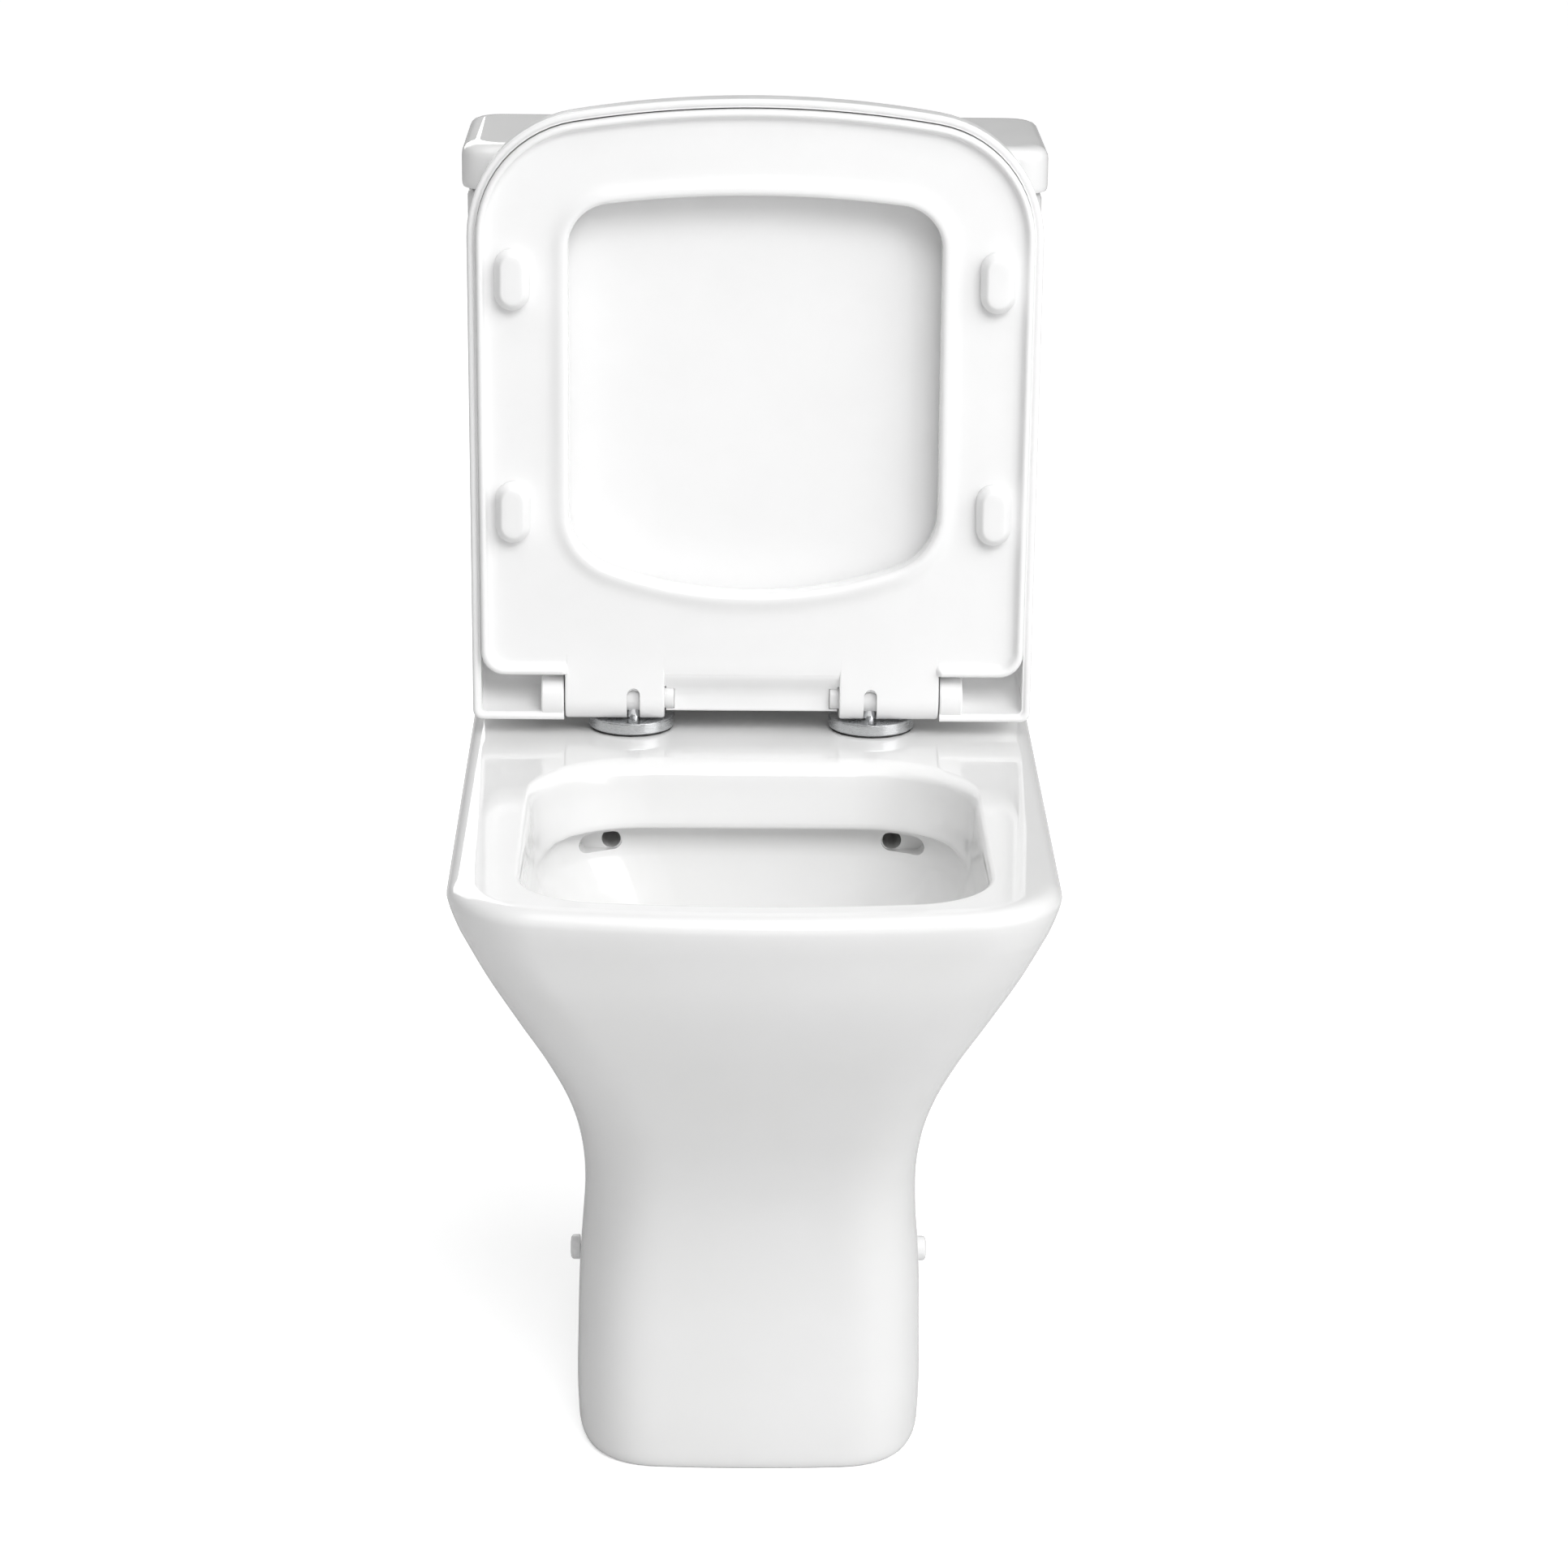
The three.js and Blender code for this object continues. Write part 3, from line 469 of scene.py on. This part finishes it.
FOAM = rubber("foam_rubber", (0.04, 0.04, 0.045), (0.075, 0.075, 0.08))
BY_SLOT = {
    "china": CHINA, "seat_plastic": SEAT_WHITE, "bumper_plastic": BUMPER_WHITE, "grey_plastic": GREY,
    "valve_plastic": VALVE, "blue_plastic": BLUE, "stainless": STEEL, "chrome": CHROME, "zinc": ZINC,
    "black_rubber": BLACK, "foam": FOAM,
}


# ---------------------------------------------------------------- pan

def hollow_rings():
    """The hollow foot: a roof over the trap with higher channels at its sides, and the inner wall."""
    rows = ((34, 184, 24, 80), (48, 196, 12, 80), (51, 198, 10, 82), (54, 201, 7, 112), (57, 204, 4, 116))
    rings = [level(bowl_outline(half, front, rear, 24), z) for half, front, rear, z in rows]
    inside = [row for row in smooth_rows(BODY, 4)[::-1] if 4 < row[0] < 108]
    top = inside[0]
    rings.append(level(body_outline(*top[1:], WALL + 6), 116))
    rings.append(level(body_outline(*top[1:], WALL + 1.5), 114))
    rings += [level(body_outline(half, front, back, rim, WALL), z) for z, half, front, back, rim in inside]
    z, half, front, back, rim = BODY[0]
    for inset, low in ((11.5, 1), (10.5, 0)):
        rings.append(level(body_outline(half, front, back, rim, inset), low))
    return rings


def outer_rings():
    z, half, front, back, rim = BODY[0]
    rings = [level(body_outline(half, front, back, rim, 3), z)]
    rings += [
        level(body_outline(half, front, back, rim), z)
        for z, half, front, back, rim in smooth_rows(BODY, [2, 2, 3, 6] + [5] * 9)
    ]
    rings += [level(shelf_outline(inset), z) for z, inset in smooth_rows(RIM_EDGE, 3)]
    return rings


def deck_rings(edge, mouth):
    """The flat deck between the rim's edge and the mouth of the bowl."""
    return [edge * (1 - t) + mouth * t for t in (0.12, 0.5, 0.88)]


def mouth_ring(grow, z):
    """The rolled mouth of the bowl: the roll is wider at the back."""
    outline = bow_outline(
        OPENING["half"] + grow, HINGE_Y - OPENING["front"] - grow, HINGE_Y - OPENING["rear"] + grow * 4.2,
        OPENING["corner"] + grow, OPENING["bow"], (OPENING["corner"] + grow) * 1.35,
    )
    return level(outline, z)


def ledge_ring(row):
    """Rows of the upper bowl: side height, rear height, half width, front, rear, corner."""
    side_z, rear_z, half, front, rear, corner = row
    outline = bowl_outline(half, front, rear, corner)
    back = HINGE_Y - rear
    rearness = smoothstep(back - 54, back - 16, outline[:, 1])
    return level(outline, side_z * (1 - rearness) + rear_z * rearness)


LEDGE = [
    (389, 389, 136, 352, 78, 50),
    (382, 382, 135.7, 351.5, 79.5, 50),
    (374, 373, 135.2, 350.6, 81.4, 50),
    (369, 367.6, 134.8, 350, 82.4, 50),
    (365, 365, 134.5, 349.3, 82.6, 50),
    (362, 363.4, 134.3, 348.6, 81.8, 50),
    (359, 362.8, 134, 347.9, 80, 50),
    (356, 363.2, 133.6, 347, 76, 50),
    (353.4, 363, 133.2, 346, 72, 50),
    (350.8, 361, 132.7, 345, 69, 50),
    (348, 356, 132, 343.6, 67.4, 50),
    (344.5, 347, 131, 341, 67.4, 50),
]


def bowl_rings():
    rings = [mouth_ring(grow, z) for grow, z in (
        (5, 403), (4.2, 402.9), (3.2, 402.5), (2.3, 401.8), (1.4, 400.7), (0.7, 399), (0.2, 396),
    )]
    rings += [ledge_ring(row) for row in LEDGE]
    below = [row for row in BOWL[::-1] if row[0] >= TONGUE["z"]]
    side_z, rear_z, half, front, rear, corner = LEDGE[-1]
    rows = smooth_rows([(side_z, half, front, rear, corner)] + below, 5)[1:]
    rings += [level(bowl_outline(half, front, rear, corner), z) for z, half, front, rear, corner in rows]
    return rings + throat_rings(rings[-1])


def throat_rings(mouth):
    """The sump turns under a round tongue at the back of the bowl and climbs to the weir."""
    pivot_y, pivot_z, r = TONGUE["y"], TONGUE["z"], TONGUE["r"]
    x, depth = mouth[:, 0], pivot_y - r - mouth[:, 1]
    angles = np.arctan2(depth - depth.max() / 2, x)
    bore = 34
    round_x, round_depth = bore * np.cos(angles), bore + bore * np.sin(angles)
    rings = []
    for t in np.linspace(0, 1, 19)[1:]:
        ease = t * t * (3 - 2 * t)
        wide = x * (1 - ease) + round_x * ease
        away = r + depth * (1 - ease) + round_depth * ease
        turn = math.pi * (1 + t)
        y, z = pivot_y + away * math.cos(turn), pivot_z + away * math.sin(turn)
        rings.append(np.column_stack([wide, y, z]))
    climb = [(pivot_y + r + bore, pivot_z), (33.4, 197), (37.5, 209), (50, 223), (72, 235.5), (128, 238)]
    rise = smooth_rows(climb, [1, 2, 3, 4, 5])
    ahead = np.gradient(rise, axis=0)
    ahead /= np.linalg.norm(ahead, axis=1)[:, None]
    for (y, z), (ahead_y, ahead_z) in list(zip(rise, ahead))[1:]:
        across = round_depth - bore
        rings.append(np.column_stack([round_x, y + across * ahead_z, z - across * ahead_y]))
    return rings


def spigot():
    """The outlet with its socket; it is buried in the back of the body."""
    profile = [
        (0, 118), (44, 118), (46, 135), (53, 142), (49.5, 149), (48.5, 156), (48.5, 170), (49.4, 176),
        (51, 180), (51, 229), (50.4, 231), (49, 232), (41, 232), (40, 231), (40, 206), (38, 202), (34, 200),
        (33, 170), (0, 122),
    ]
    return lathe(profile, (0, 0, 180), "y", 64)


def shelf_box():
    """The flush chamber under the shelf, with rounded corners and soft upper edges."""
    rows = [(318, 6), (319.5, 2), (323, 0), (360, 0), (368, -1.5), (375, -5)]
    return skin([level(rectangle_outline(52 - inset, 130, 262 - inset, 10, 6), z) for z, inset in rows])


def outlet_tools(side):
    """A flush outlet: a shallow pocket that runs outboard, and the round way through."""
    x, z, r = OUTLET["x"] * side, OUTLET["z"], OUTLET["r"]
    ends = sorted((x - 1.0 * side, x + 14 * side))
    stadium = np.vstack([arc(ends[1], z, r, r, -90, 90, 10), arc(ends[0], z, r, r, 90, 270, 10)])
    pocket = [np.column_stack([stadium[:, 0], np.full(len(stadium), y), stadium[:, 1]]) for y in (0, 24.2)]
    way = lathe([(r, 4), (r, 58)], (x, 0, z), "y", 28)
    return [skin(pocket), way]


def pan():
    outer = outer_rings()
    bowl = bowl_rings()
    rings = hollow_rings() + outer + deck_rings(outer[-1], bowl[0]) + bowl
    piece = new_object("pan_china", skin(rings))
    combine(piece, "DIFFERENCE", *outlet_tools(-1), *outlet_tools(1))
    attach(piece, shelf_box(), spigot())
    return finish_piece(piece, CHINA, "pan", ["pan"], 38)


# ---------------------------------------------------------------- cistern

def tank_ring(z, half, inset, r=22):
    front, back = TANK["front"] + inset, TANK["back"] - inset
    return level(rectangle_outline(half - inset, front, back, max(r - inset, 4)), z)


def tank():
    top, base, z0, z1 = TANK["top_half"], TANK["base_half"], TANK["z0"], TANK["z1"]
    edge = 9
    outside = []
    for a in np.linspace(0, math.pi / 2, 7):
        outside.append(tank_ring(z0 + edge - edge * math.cos(a), base, edge - edge * math.sin(a)))
    for t in (0.03, 0.5, 0.97, 1):
        outside.append(tank_ring(z0 + edge + t * (z1 - z0 - 13), base + (top - base) * t, 0))
    outside += [tank_ring(z1 - 1, top, 1), tank_ring(z1, top, 3)]
    inside = [
        tank_ring(z1, top, 8), tank_ring(z1 - 2, top, 10), tank_ring(z1 - 6, top, 10.5),
        tank_ring(z0 + 26, base, 10.5), tank_ring(z0 + 17, base, 12),
        tank_ring(z0 + 13, base, 15), tank_ring(z0 + 12, base, 19),
    ]
    piece = new_object("tank_china", skin(outside + inside))
    return finish_piece(piece, CHINA, "pan", ["tank"])


def lid_ring(z, inset):
    half, front, back = TANK_LID["half"], TANK_LID["front"], TANK_LID["back"]
    return level(rectangle_outline(half - inset, front + inset, back - inset, max(19 - inset * 0.6, 3)), z)


def tank_lid():
    z0, z1 = TANK_LID["z0"], TANK_LID["z1"]
    crown = [
        (z1 - 9, 0), (z1 - 6, 0.35), (z1 - 3.6, 1.5), (z1 - 1.8, 3.4), (z1 - 0.7, 6), (z1 - 0.15, 9.5),
        (z1, 14),
    ]
    rows = [
        (z0 + 6, 30), (z0 + 6, 14), (z0 + 5, 9.5), (z0 + 3, 8), (z0 - 1.6, 8), (z0 - 1.9, 6.5), (z0, 3.5),
        (z0, 2), (z0 + 0.5, 0.8), (z0 + 2, 0.2), (z0 + 4, 0),
    ]
    rings = [lid_ring(z, inset) for z, inset in rows + crown]
    piece = new_object("tank_lid_china", skin(rings))
    combine(piece, "DIFFERENCE", lathe([(26.6, 740), (26.6, 780)], (0, TANK_Y, 0), "z", 64))
    return finish_piece(piece, CHINA, "tank_lid", ["tank_lid"])


# ---------------------------------------------------------------- seat and lid

def seat_ring(inset, z):
    """A ring of the seat's section. The bead under its edge dies out between the outer barrel ends."""
    back_half = SEAT["back_half"] - inset
    outline = bow_outline(
        SEAT["half"] - inset, inset - SEAT["length"], -SEAT["rear"] - inset, 73 - inset, 700,
        max(15 - inset * 0.5, 3), back_half, split=SEAT_SPLIT,
    )
    if z > SEAT["under"]:
        return level(outline, z)
    x, y = np.abs(outline[:, 0]), outline[:, 1]
    plain = (1 - smoothstep(117, 121, x)) * smoothstep(-60, -40, y)
    return level(outline, z * (1 - plain) + SEAT["under"] * plain)


def hole_ring(grow, z):
    outline = bow_outline(
        HOLE["half"] + grow, -HOLE["front"] - grow, grow - HOLE["rear"], HOLE["corner"] + grow, HOLE["bow"],
        HOLE["back_corner"] + grow, None, HOLE["back_bow"],
    )
    return level(outline, z)


def seat_body():
    """The seat in section: top, outer edge, flange, soft recess and the rolled edge of the hole."""
    outer = [
        (14, 12), (8, 11.9), (4.6, 11.4), (2, 9.9), (0.6, 7.4), (0, 4), (0, -14.5), (0.3, -16.4),
        (1.2, -17.6), (2.4, -18), (3.4, -17.8), (4.2, -17), (4.7, -15.6), (5.4, -13.8), (6.8, -12.7),
        (9, -12.1), (12, -12),
    ]
    inner = [
        (26, -12), (19, -12), (14.5, -12.1), (11.4, -12.5), (8.8, -13.3), (6.8, -14.1), (5, -14.6),
        (3.3, -14.7), (1.8, -14.3), (0.7, -13.2), (0.1, -11.4), (0, -9), (0, 5), (0.8, 8.4), (2.8, 10.8),
        (6, 11.9), (12, 12),
    ]
    return skin([seat_ring(*row) for row in outer] + [hole_ring(*row) for row in inner], "loop")


def barrel_shape(side):
    """One hinge barrel, running smoothly into the underside of the seat."""
    x0, x1 = sorted((56 * side, 119.8 * side))
    r = 14.3
    slope = ((-34, -11.7), (-29, -12.1), (-23, -12.45), (-15, -13.1), (-8, -13.8))
    rings = []
    for x, inset in ((x0, 1.6), (x0 + 0.5, 0.5), (x0 + 1.6, 0), (x1 - 1.6, 0), (x1 - 0.5, 0.5), (x1, 1.6)):
        turn = arc(0, 0, r - inset, r - inset, -99, 56, 40)
        run = [(x, y, z + inset) for y, z in slope]
        rings.append(np.array([*run, *((x, y, z) for y, z in turn), (x, -34, 11.8)]))
    return skin(rings)


def seat_web():
    """The back edge between the barrels: it bends up from the underside to a thinner plate."""
    rows = [
        (-36, -11.8), (-27, -12.05), (-19, -12.15), (-14.5, -11.3), (-10, -8.4), (-5.5, -5), (-1, -3),
        (4, -2.1), (8, -2),
    ]
    bend = smooth_rows(rows, 3)
    edge = [(9, -1.7), (9.6, -0.8), (9.8, 0.4), (9.8, 9), (9.2, 11), (7.6, 12), (-36, 11.8)]
    section = np.array([*map(tuple, bend), *edge])
    return skin([np.column_stack([np.full(len(section), x), section]) for x in (-57, 57)])


def slot_tool(side):
    """The way for the post: a slot with a round end, bent round the barrel from under to behind."""
    half, reach, end, turn = 4.2, 22, -119, 17
    ways = [(end + turn * (1 - math.cos(a)), half * math.sin(a)) for a in np.radians((6, 22, 40, 58, 75, 90))]
    ways += [(angle, half) for angle in np.linspace(end + turn + 8, LEAN + 18, 13)]
    rings = []
    for angle, width in ways:
        way = np.array([0, math.cos(math.radians(angle)), math.sin(math.radians(angle))])
        left, right = np.array([POST_X * side - width, 0, 0]), np.array([POST_X * side + width, 0, 0])
        rings.append(np.array([way * 2 + left, way * reach + left, way * reach + right, way * 2 + right]))
    return skin(rings)


def seat():
    piece = new_object("seat_white", seat_body(), True)
    shapes = [barrel_shape(-1), barrel_shape(1), seat_web()]
    combine(piece, "UNION", *shapes, raise_tools=True)
    bores = [lathe([(10, 55 * side), (10, 121 * side)], (0, 0, 0), "x", 48) for side in (-1, 1)]
    pockets = [lathe([(8.1, 49.7 * side), (8.1, 57 * side)], (0, 0, 0), "x", 48) for side in (-1, 1)]
    combine(piece, "DIFFERENCE", *bores, *pockets, slot_tool(-1), slot_tool(1), raise_tools=True)
    return finish_piece(piece, SEAT_WHITE, "seat", ["seat"], 40)


def stadium(x, y, half_long, r, z, steps=12):
    near = arc(x, y - half_long, r, r, 180, 360, steps)
    far = arc(x, y + half_long, r, r, 0, 180, steps)
    return level(np.vstack([near, far]), z)


def seat_bumper(side, reach, name):
    x, y = 152.4 * side, -reach
    rows = [(11, -12.3), (11, -17), (10.7, -18.6), (8, -22.4), (7.2, -23.3), (6, -23.7), (3, -23.7)]
    piece = new_object(name + "_white", skin([stadium(x, y, 8.4, r, z) for r, z in rows]), True)
    return finish_piece(piece, BUMPER_WHITE, "seat", [name])


def lid_outline(inset, z):
    outline = bow_outline(
        LID["half"] - inset, inset - LID["length"], LID["rear"] - inset, 79 - inset, 700,
        max(6 - inset * 0.5, 1.5), LID["back_half"] - inset,
    )
    return level(outline, z)


def lid_inner_ring(inset, z, rear_inset):
    """The inside of the lid, where its back corner is filled with a wide fillet."""
    ring, filled = lid_outline(inset, z), lid_outline(rear_inset, z)
    rearness = smoothstep(-46, -22, ring[:, 1])
    ring[:, 1] = ring[:, 1] * (1 - rearness) + filled[:, 1] * rearness
    return ring


def knuckle(side):
    x0, x1 = sorted((120.5 * side, 135 * side))
    r, bevel = 14, 0.9
    roll = lathe([(0, x0), (r - bevel, x0), (r, x0 + bevel), (r, x1 - bevel), (r - bevel, x1), (0, x1)],
                 (0, 0, 0), "x", 64)
    section = np.array([(-13.5, 3), (13.4, 3), (13.4, 16), (-13.5, 16)])
    block = skin([np.column_stack([np.full(len(section), x), section[:, 0], section[:, 1]])
                  for x in (x0 + 0.4, x1 - 0.4)])
    return roll, block


def lid():
    top, inner, bottom = LID["top"], LID["inner"], LID["bottom"]
    outside = [
        (60, top), (12, top), (7, top - 0.2), (4, top - 0.9), (1.8, top - 2.5), (0.5, top - 4.9),
        (0, top - 7.9), (0, bottom + 2.4), (0.3, bottom + 1), (1.2, bottom + 0.2), (2, bottom),
        (3, bottom + 0.1),
        (3.8, bottom + 0.6), (4.2, bottom + 1.3), (4.6, bottom + 1.6), (5.5, bottom + 1.7),
    ]
    inside = [
        (5.5, -5, 6.4), (5.5, 0, 8.2), (5.5, 5, 11), (5.5, 9, 14.4), (6, 12.2, 18.6), (6.8, 13.9, 22.6),
        (8.2, 14.8, 27), (12, inner, 32), (60, inner, 60),
    ]
    rings = [lid_outline(*row) for row in outside] + [lid_inner_ring(*row) for row in inside]
    piece = new_object("lid_white", skin(rings), True)
    shapes = [*knuckle(-1), *knuckle(1)]
    combine(piece, "UNION", *shapes, raise_tools=True)
    notch = np.array([(-30, -14), (20, -14), (20, 21), (8, 21), (8, 15.05), (-30, 15.05)])
    gap = skin([np.column_stack([np.full(len(notch), x), notch]) for x in (-120.5, 120.5)])
    bores = [lathe([(5.4, 110 * side), (5.4, 131 * side)], (0, 0, 0), "x", 32) for side in (-1, 1)]
    combine(piece, "DIFFERENCE", gap, *bores, raise_tools=True)
    return finish_piece(piece, SEAT_WHITE, "lid", ["lid"], 40)


# ---------------------------------------------------------------- hinges, caps and buttons

def hinge_disc(side, hand):
    r, z0, z1 = DISC["r"], DISC["z0"], DISC["z1"]
    profile = [
        (8, z0), (r - 0.8, z0), (r, z0 + 0.8), (r, z1 - 0.9), (r - 0.25, z1 - 0.35), (r - 0.9, z1),
        (r - 2, z1), (7.4, z1), (7, z1 - 0.4), (7, z1 - 3.4), (4, z1 - 3.4),
    ]
    piece = new_object(f"hinge_disc_{hand}", lathe(profile, (DISC["x"] * side, DISC["y"], 0), "z", 96, True))
    return finish_piece(piece, STEEL, "pan", [f"hinge_base_{hand}"], 30)


def hinge_post(side, hand):
    profile = [(0, 405), (3.8, 405), (3.8, HINGE_Z + 1.4), (3.2, HINGE_Z + 2), (0, HINGE_Z + 2)]
    piece = new_object(f"hinge_post_chrome_{hand}", lathe(profile, (POST_X * side, HINGE_Y, 0), "z", 40))
    return finish_piece(piece, CHROME, "pan", [f"hinge_post_{hand}"], 30)


def damper(side, hand):
    stub_r, r = 7.9, 9.5
    profile = [
        (0, 50), (stub_r - 0.5, 50), (stub_r, 50.5), (stub_r, 57), (r, 57), (r, 118.9), (r - 0.5, 119.4),
        (0, 119.4),
    ]
    shape = lathe([(r, x * side) for r, x in profile], (0, HINGE_Y, HINGE_Z), "x", 48)
    piece = new_object(f"damper_grey_{hand}", shape)
    combine(piece, "DIFFERENCE",
            lathe([(4.2, HINGE_Z - 20), (4.2, HINGE_Z + 2.4)], (POST_X * side, HINGE_Y, 0), "z", 32),
            lathe([(5.3, 104 * side), (5.3, 121 * side)], (0, HINGE_Y, HINGE_Z), "x", 32))
    return finish_piece(piece, GREY, "pan", [f"damper_{hand}"], 30)


def side_cap(side, hand):
    profile = [
        (0, 108.2), (7.6, 108.2), (8, 108.8), (8, 112), (7.6, 113.2), (6.4, 114.1), (4, 114.45), (0, 114.5),
    ]
    shape = lathe([(r, x * side) for r, x in profile], (0, -7.5, 86), "x", 48)
    piece = new_object(f"side_cap_white_{hand}", shape)
    return finish_piece(piece, SEAT_WHITE, "pan", [f"side_cap_{hand}"], 30)


def button_housing():
    z1 = TANK_LID["z1"]
    profile = [
        (23.5, 738), (26, 738), (26, z1 + 0.3), (29.4, z1 + 0.3), (30, z1 + 0.8), (29.8, z1 + 1.6),
        (28.8, z1 + 2.4), (27, z1 + 2.8), (24.4, z1 + 2.7), (23.7, z1 + 2.2), (23.5, z1 + 1.2),
    ]
    piece = new_object("button_ring_chrome", lathe(profile, (0, TANK_Y, 0), "z", 96, True))
    return finish_piece(piece, CHROME, "tank_lid", ["button_housing"], 30)


def button(side, name):
    """One part of the round button, on its side of the split, with a slightly dished top."""
    top = TANK_LID["z1"] + 2.3
    full_r = 23
    split = -5 + 0.5 * side
    rows = [
        (0.6, 764), (0, 764.8), (0, top - 1.2), (0.4, top - 0.35), (1.2, top), (3, top), (8, top - 0.4),
    ]
    rings = []
    for inset, z in rows:
        r = full_r - inset
        edge = split + inset * side
        half = math.acos(edge / r)
        half = half if side > 0 else math.pi - half
        middle = 0 if side > 0 else math.pi
        a = np.linspace(middle - half, middle + half, 49)
        rim = np.column_stack([r * np.cos(a), TANK_Y + r * np.sin(a)])
        chord = line(rim[-1], rim[0], 12)[1:-1]
        rings.append(level(np.vstack([rim, chord]), z))
    piece = new_object(name + "_chrome", skin(rings))
    return finish_piece(piece, CHROME, name, [name], 30)


# ---------------------------------------------------------------- the object

def dress_cad_nodes():
    """CAD nodes that keep their shape get their procedural material."""
    slots = {entry["node"]: entry["material_slot"] for entry in frame["record"]["subparts"]}
    for name, node in frame["nodes"].items():
        node.data.materials.clear()
        node.data.materials.append(BY_SLOT[slots[name]])


def build_object():
    dress_cad_nodes()
    pan()
    tank()
    tank_lid()
    seat()
    lid()
    button_housing()
    button(1, "button_full")
    button(-1, "button_half")
    for side, hand in ((-1, "left"), (1, "right")):
        seat_bumper(side, 270, f"seat_bumper_front_{hand}")
        seat_bumper(side, 122, f"seat_bumper_rear_{hand}")
        hinge_disc(side, hand)
        hinge_post(side, hand)
        damper(side, hand)
        side_cap(side, hand)


# ---------------------------------------------------------------- stage, light and camera

def stage():
    material, tree, shader = new_material("pale_floor", Roughness=0.9)
    shader.inputs["Specular IOR Level"].default_value = 0.1
    shader.inputs["Emission Color"].default_value = (1, 1, 1, 1)
    seen = tree.nodes.new("ShaderNodeLightPath").outputs["Is Camera Ray"]
    tree.links.new(tint(tree, seen, (0.7, 0.7, 0.7), (0.95, 0.95, 0.95)), shader.inputs["Base Color"])
    tree.links.new(spread(tree, seen, 0, 0.46), shader.inputs["Emission Strength"])
    mesh = bpy.data.meshes.new("floor")
    size = 30
    corners = [(-size, -size, 0), (size, -size, 0), (size, size, 0), (-size, size, 0)]
    mesh.from_pydata(corners, [], [(0, 1, 2, 3)])
    mesh.materials.append(material)
    floor = bpy.data.objects.new("floor", mesh)
    bpy.context.scene.collection.objects.link(floor)


def area_light(name, place, target, size, power):
    data = bpy.data.lights.new(name, "AREA")
    data.shape = "RECTANGLE"
    data.size, data.size_y = size
    data.energy = power
    lamp = bpy.data.objects.new(name, data)
    lamp.location = place
    lamp.rotation_mode = "QUATERNION"
    lamp.rotation_quaternion = (Vector(target) - Vector(place)).to_track_quat("-Z", "Y")
    bpy.context.scene.collection.objects.link(lamp)


def light():
    world = bpy.data.worlds.new("studio")
    world.use_nodes = True
    tree = world.node_tree
    room = tree.nodes["Background"]
    room.inputs["Color"].default_value = (1, 1, 1, 1)
    room.inputs["Strength"].default_value = 0.27
    backdrop = tree.nodes.new("ShaderNodeBackground")
    backdrop.inputs["Strength"].default_value = 1.05
    mix = tree.nodes.new("ShaderNodeMixShader")
    path = tree.nodes.new("ShaderNodeLightPath")
    tree.links.new(path.outputs["Is Camera Ray"], mix.inputs["Fac"])
    tree.links.new(room.outputs["Background"], mix.inputs[1])
    tree.links.new(backdrop.outputs["Background"], mix.inputs[2])
    tree.links.new(mix.outputs["Shader"], tree.nodes["World Output"].inputs["Surface"])
    bpy.context.scene.world = world
    area_light("key", (2.6, -1.8, 1.9), (0, 0, 0.5), (2.4, 2.4), 36)
    area_light("fill", (0.9, -2.6, 2.8), (0, 0, 0.5), (2.2, 1.6), 54)
    area_light("back", (-1.3, 3.0, 2.0), (0, 0, 0.5), (2.2, 1.6), 26)
    sun = bpy.data.lights.new("top", "SUN")
    sun.energy = 1.05
    sun.angle = math.radians(70)
    lamp = bpy.data.objects.new("top", sun)
    lamp.rotation_euler = (math.radians(22), math.radians(10), 0)
    bpy.context.scene.collection.objects.link(lamp)
    bpy.context.scene.view_settings.view_transform = "Standard"


def camera():
    pitch, yaw, roll = math.radians(16.962), math.radians(0.917), math.radians(0.606)
    ahead = Vector((math.sin(yaw) * math.cos(pitch), math.cos(yaw) * math.cos(pitch), -math.sin(pitch)))
    right = Vector((math.cos(yaw), -math.sin(yaw), 0))
    up = right.cross(ahead)
    x = right * math.cos(roll) + up * math.sin(roll)
    y = up * math.cos(roll) - right * math.sin(roll)
    data = bpy.data.cameras.new("camera")
    data.sensor_width = 36
    data.lens = 106.52
    data.clip_end = 100
    view = bpy.data.objects.new("camera", data)
    view.matrix_world = Matrix((x, y, -ahead)).transposed().to_4x4()
    view.location = (-0.02465, -2.78108, 1.24442)
    bpy.context.scene.collection.objects.link(view)
    bpy.context.scene.camera = view


build_object()
stage()
light()
camera()
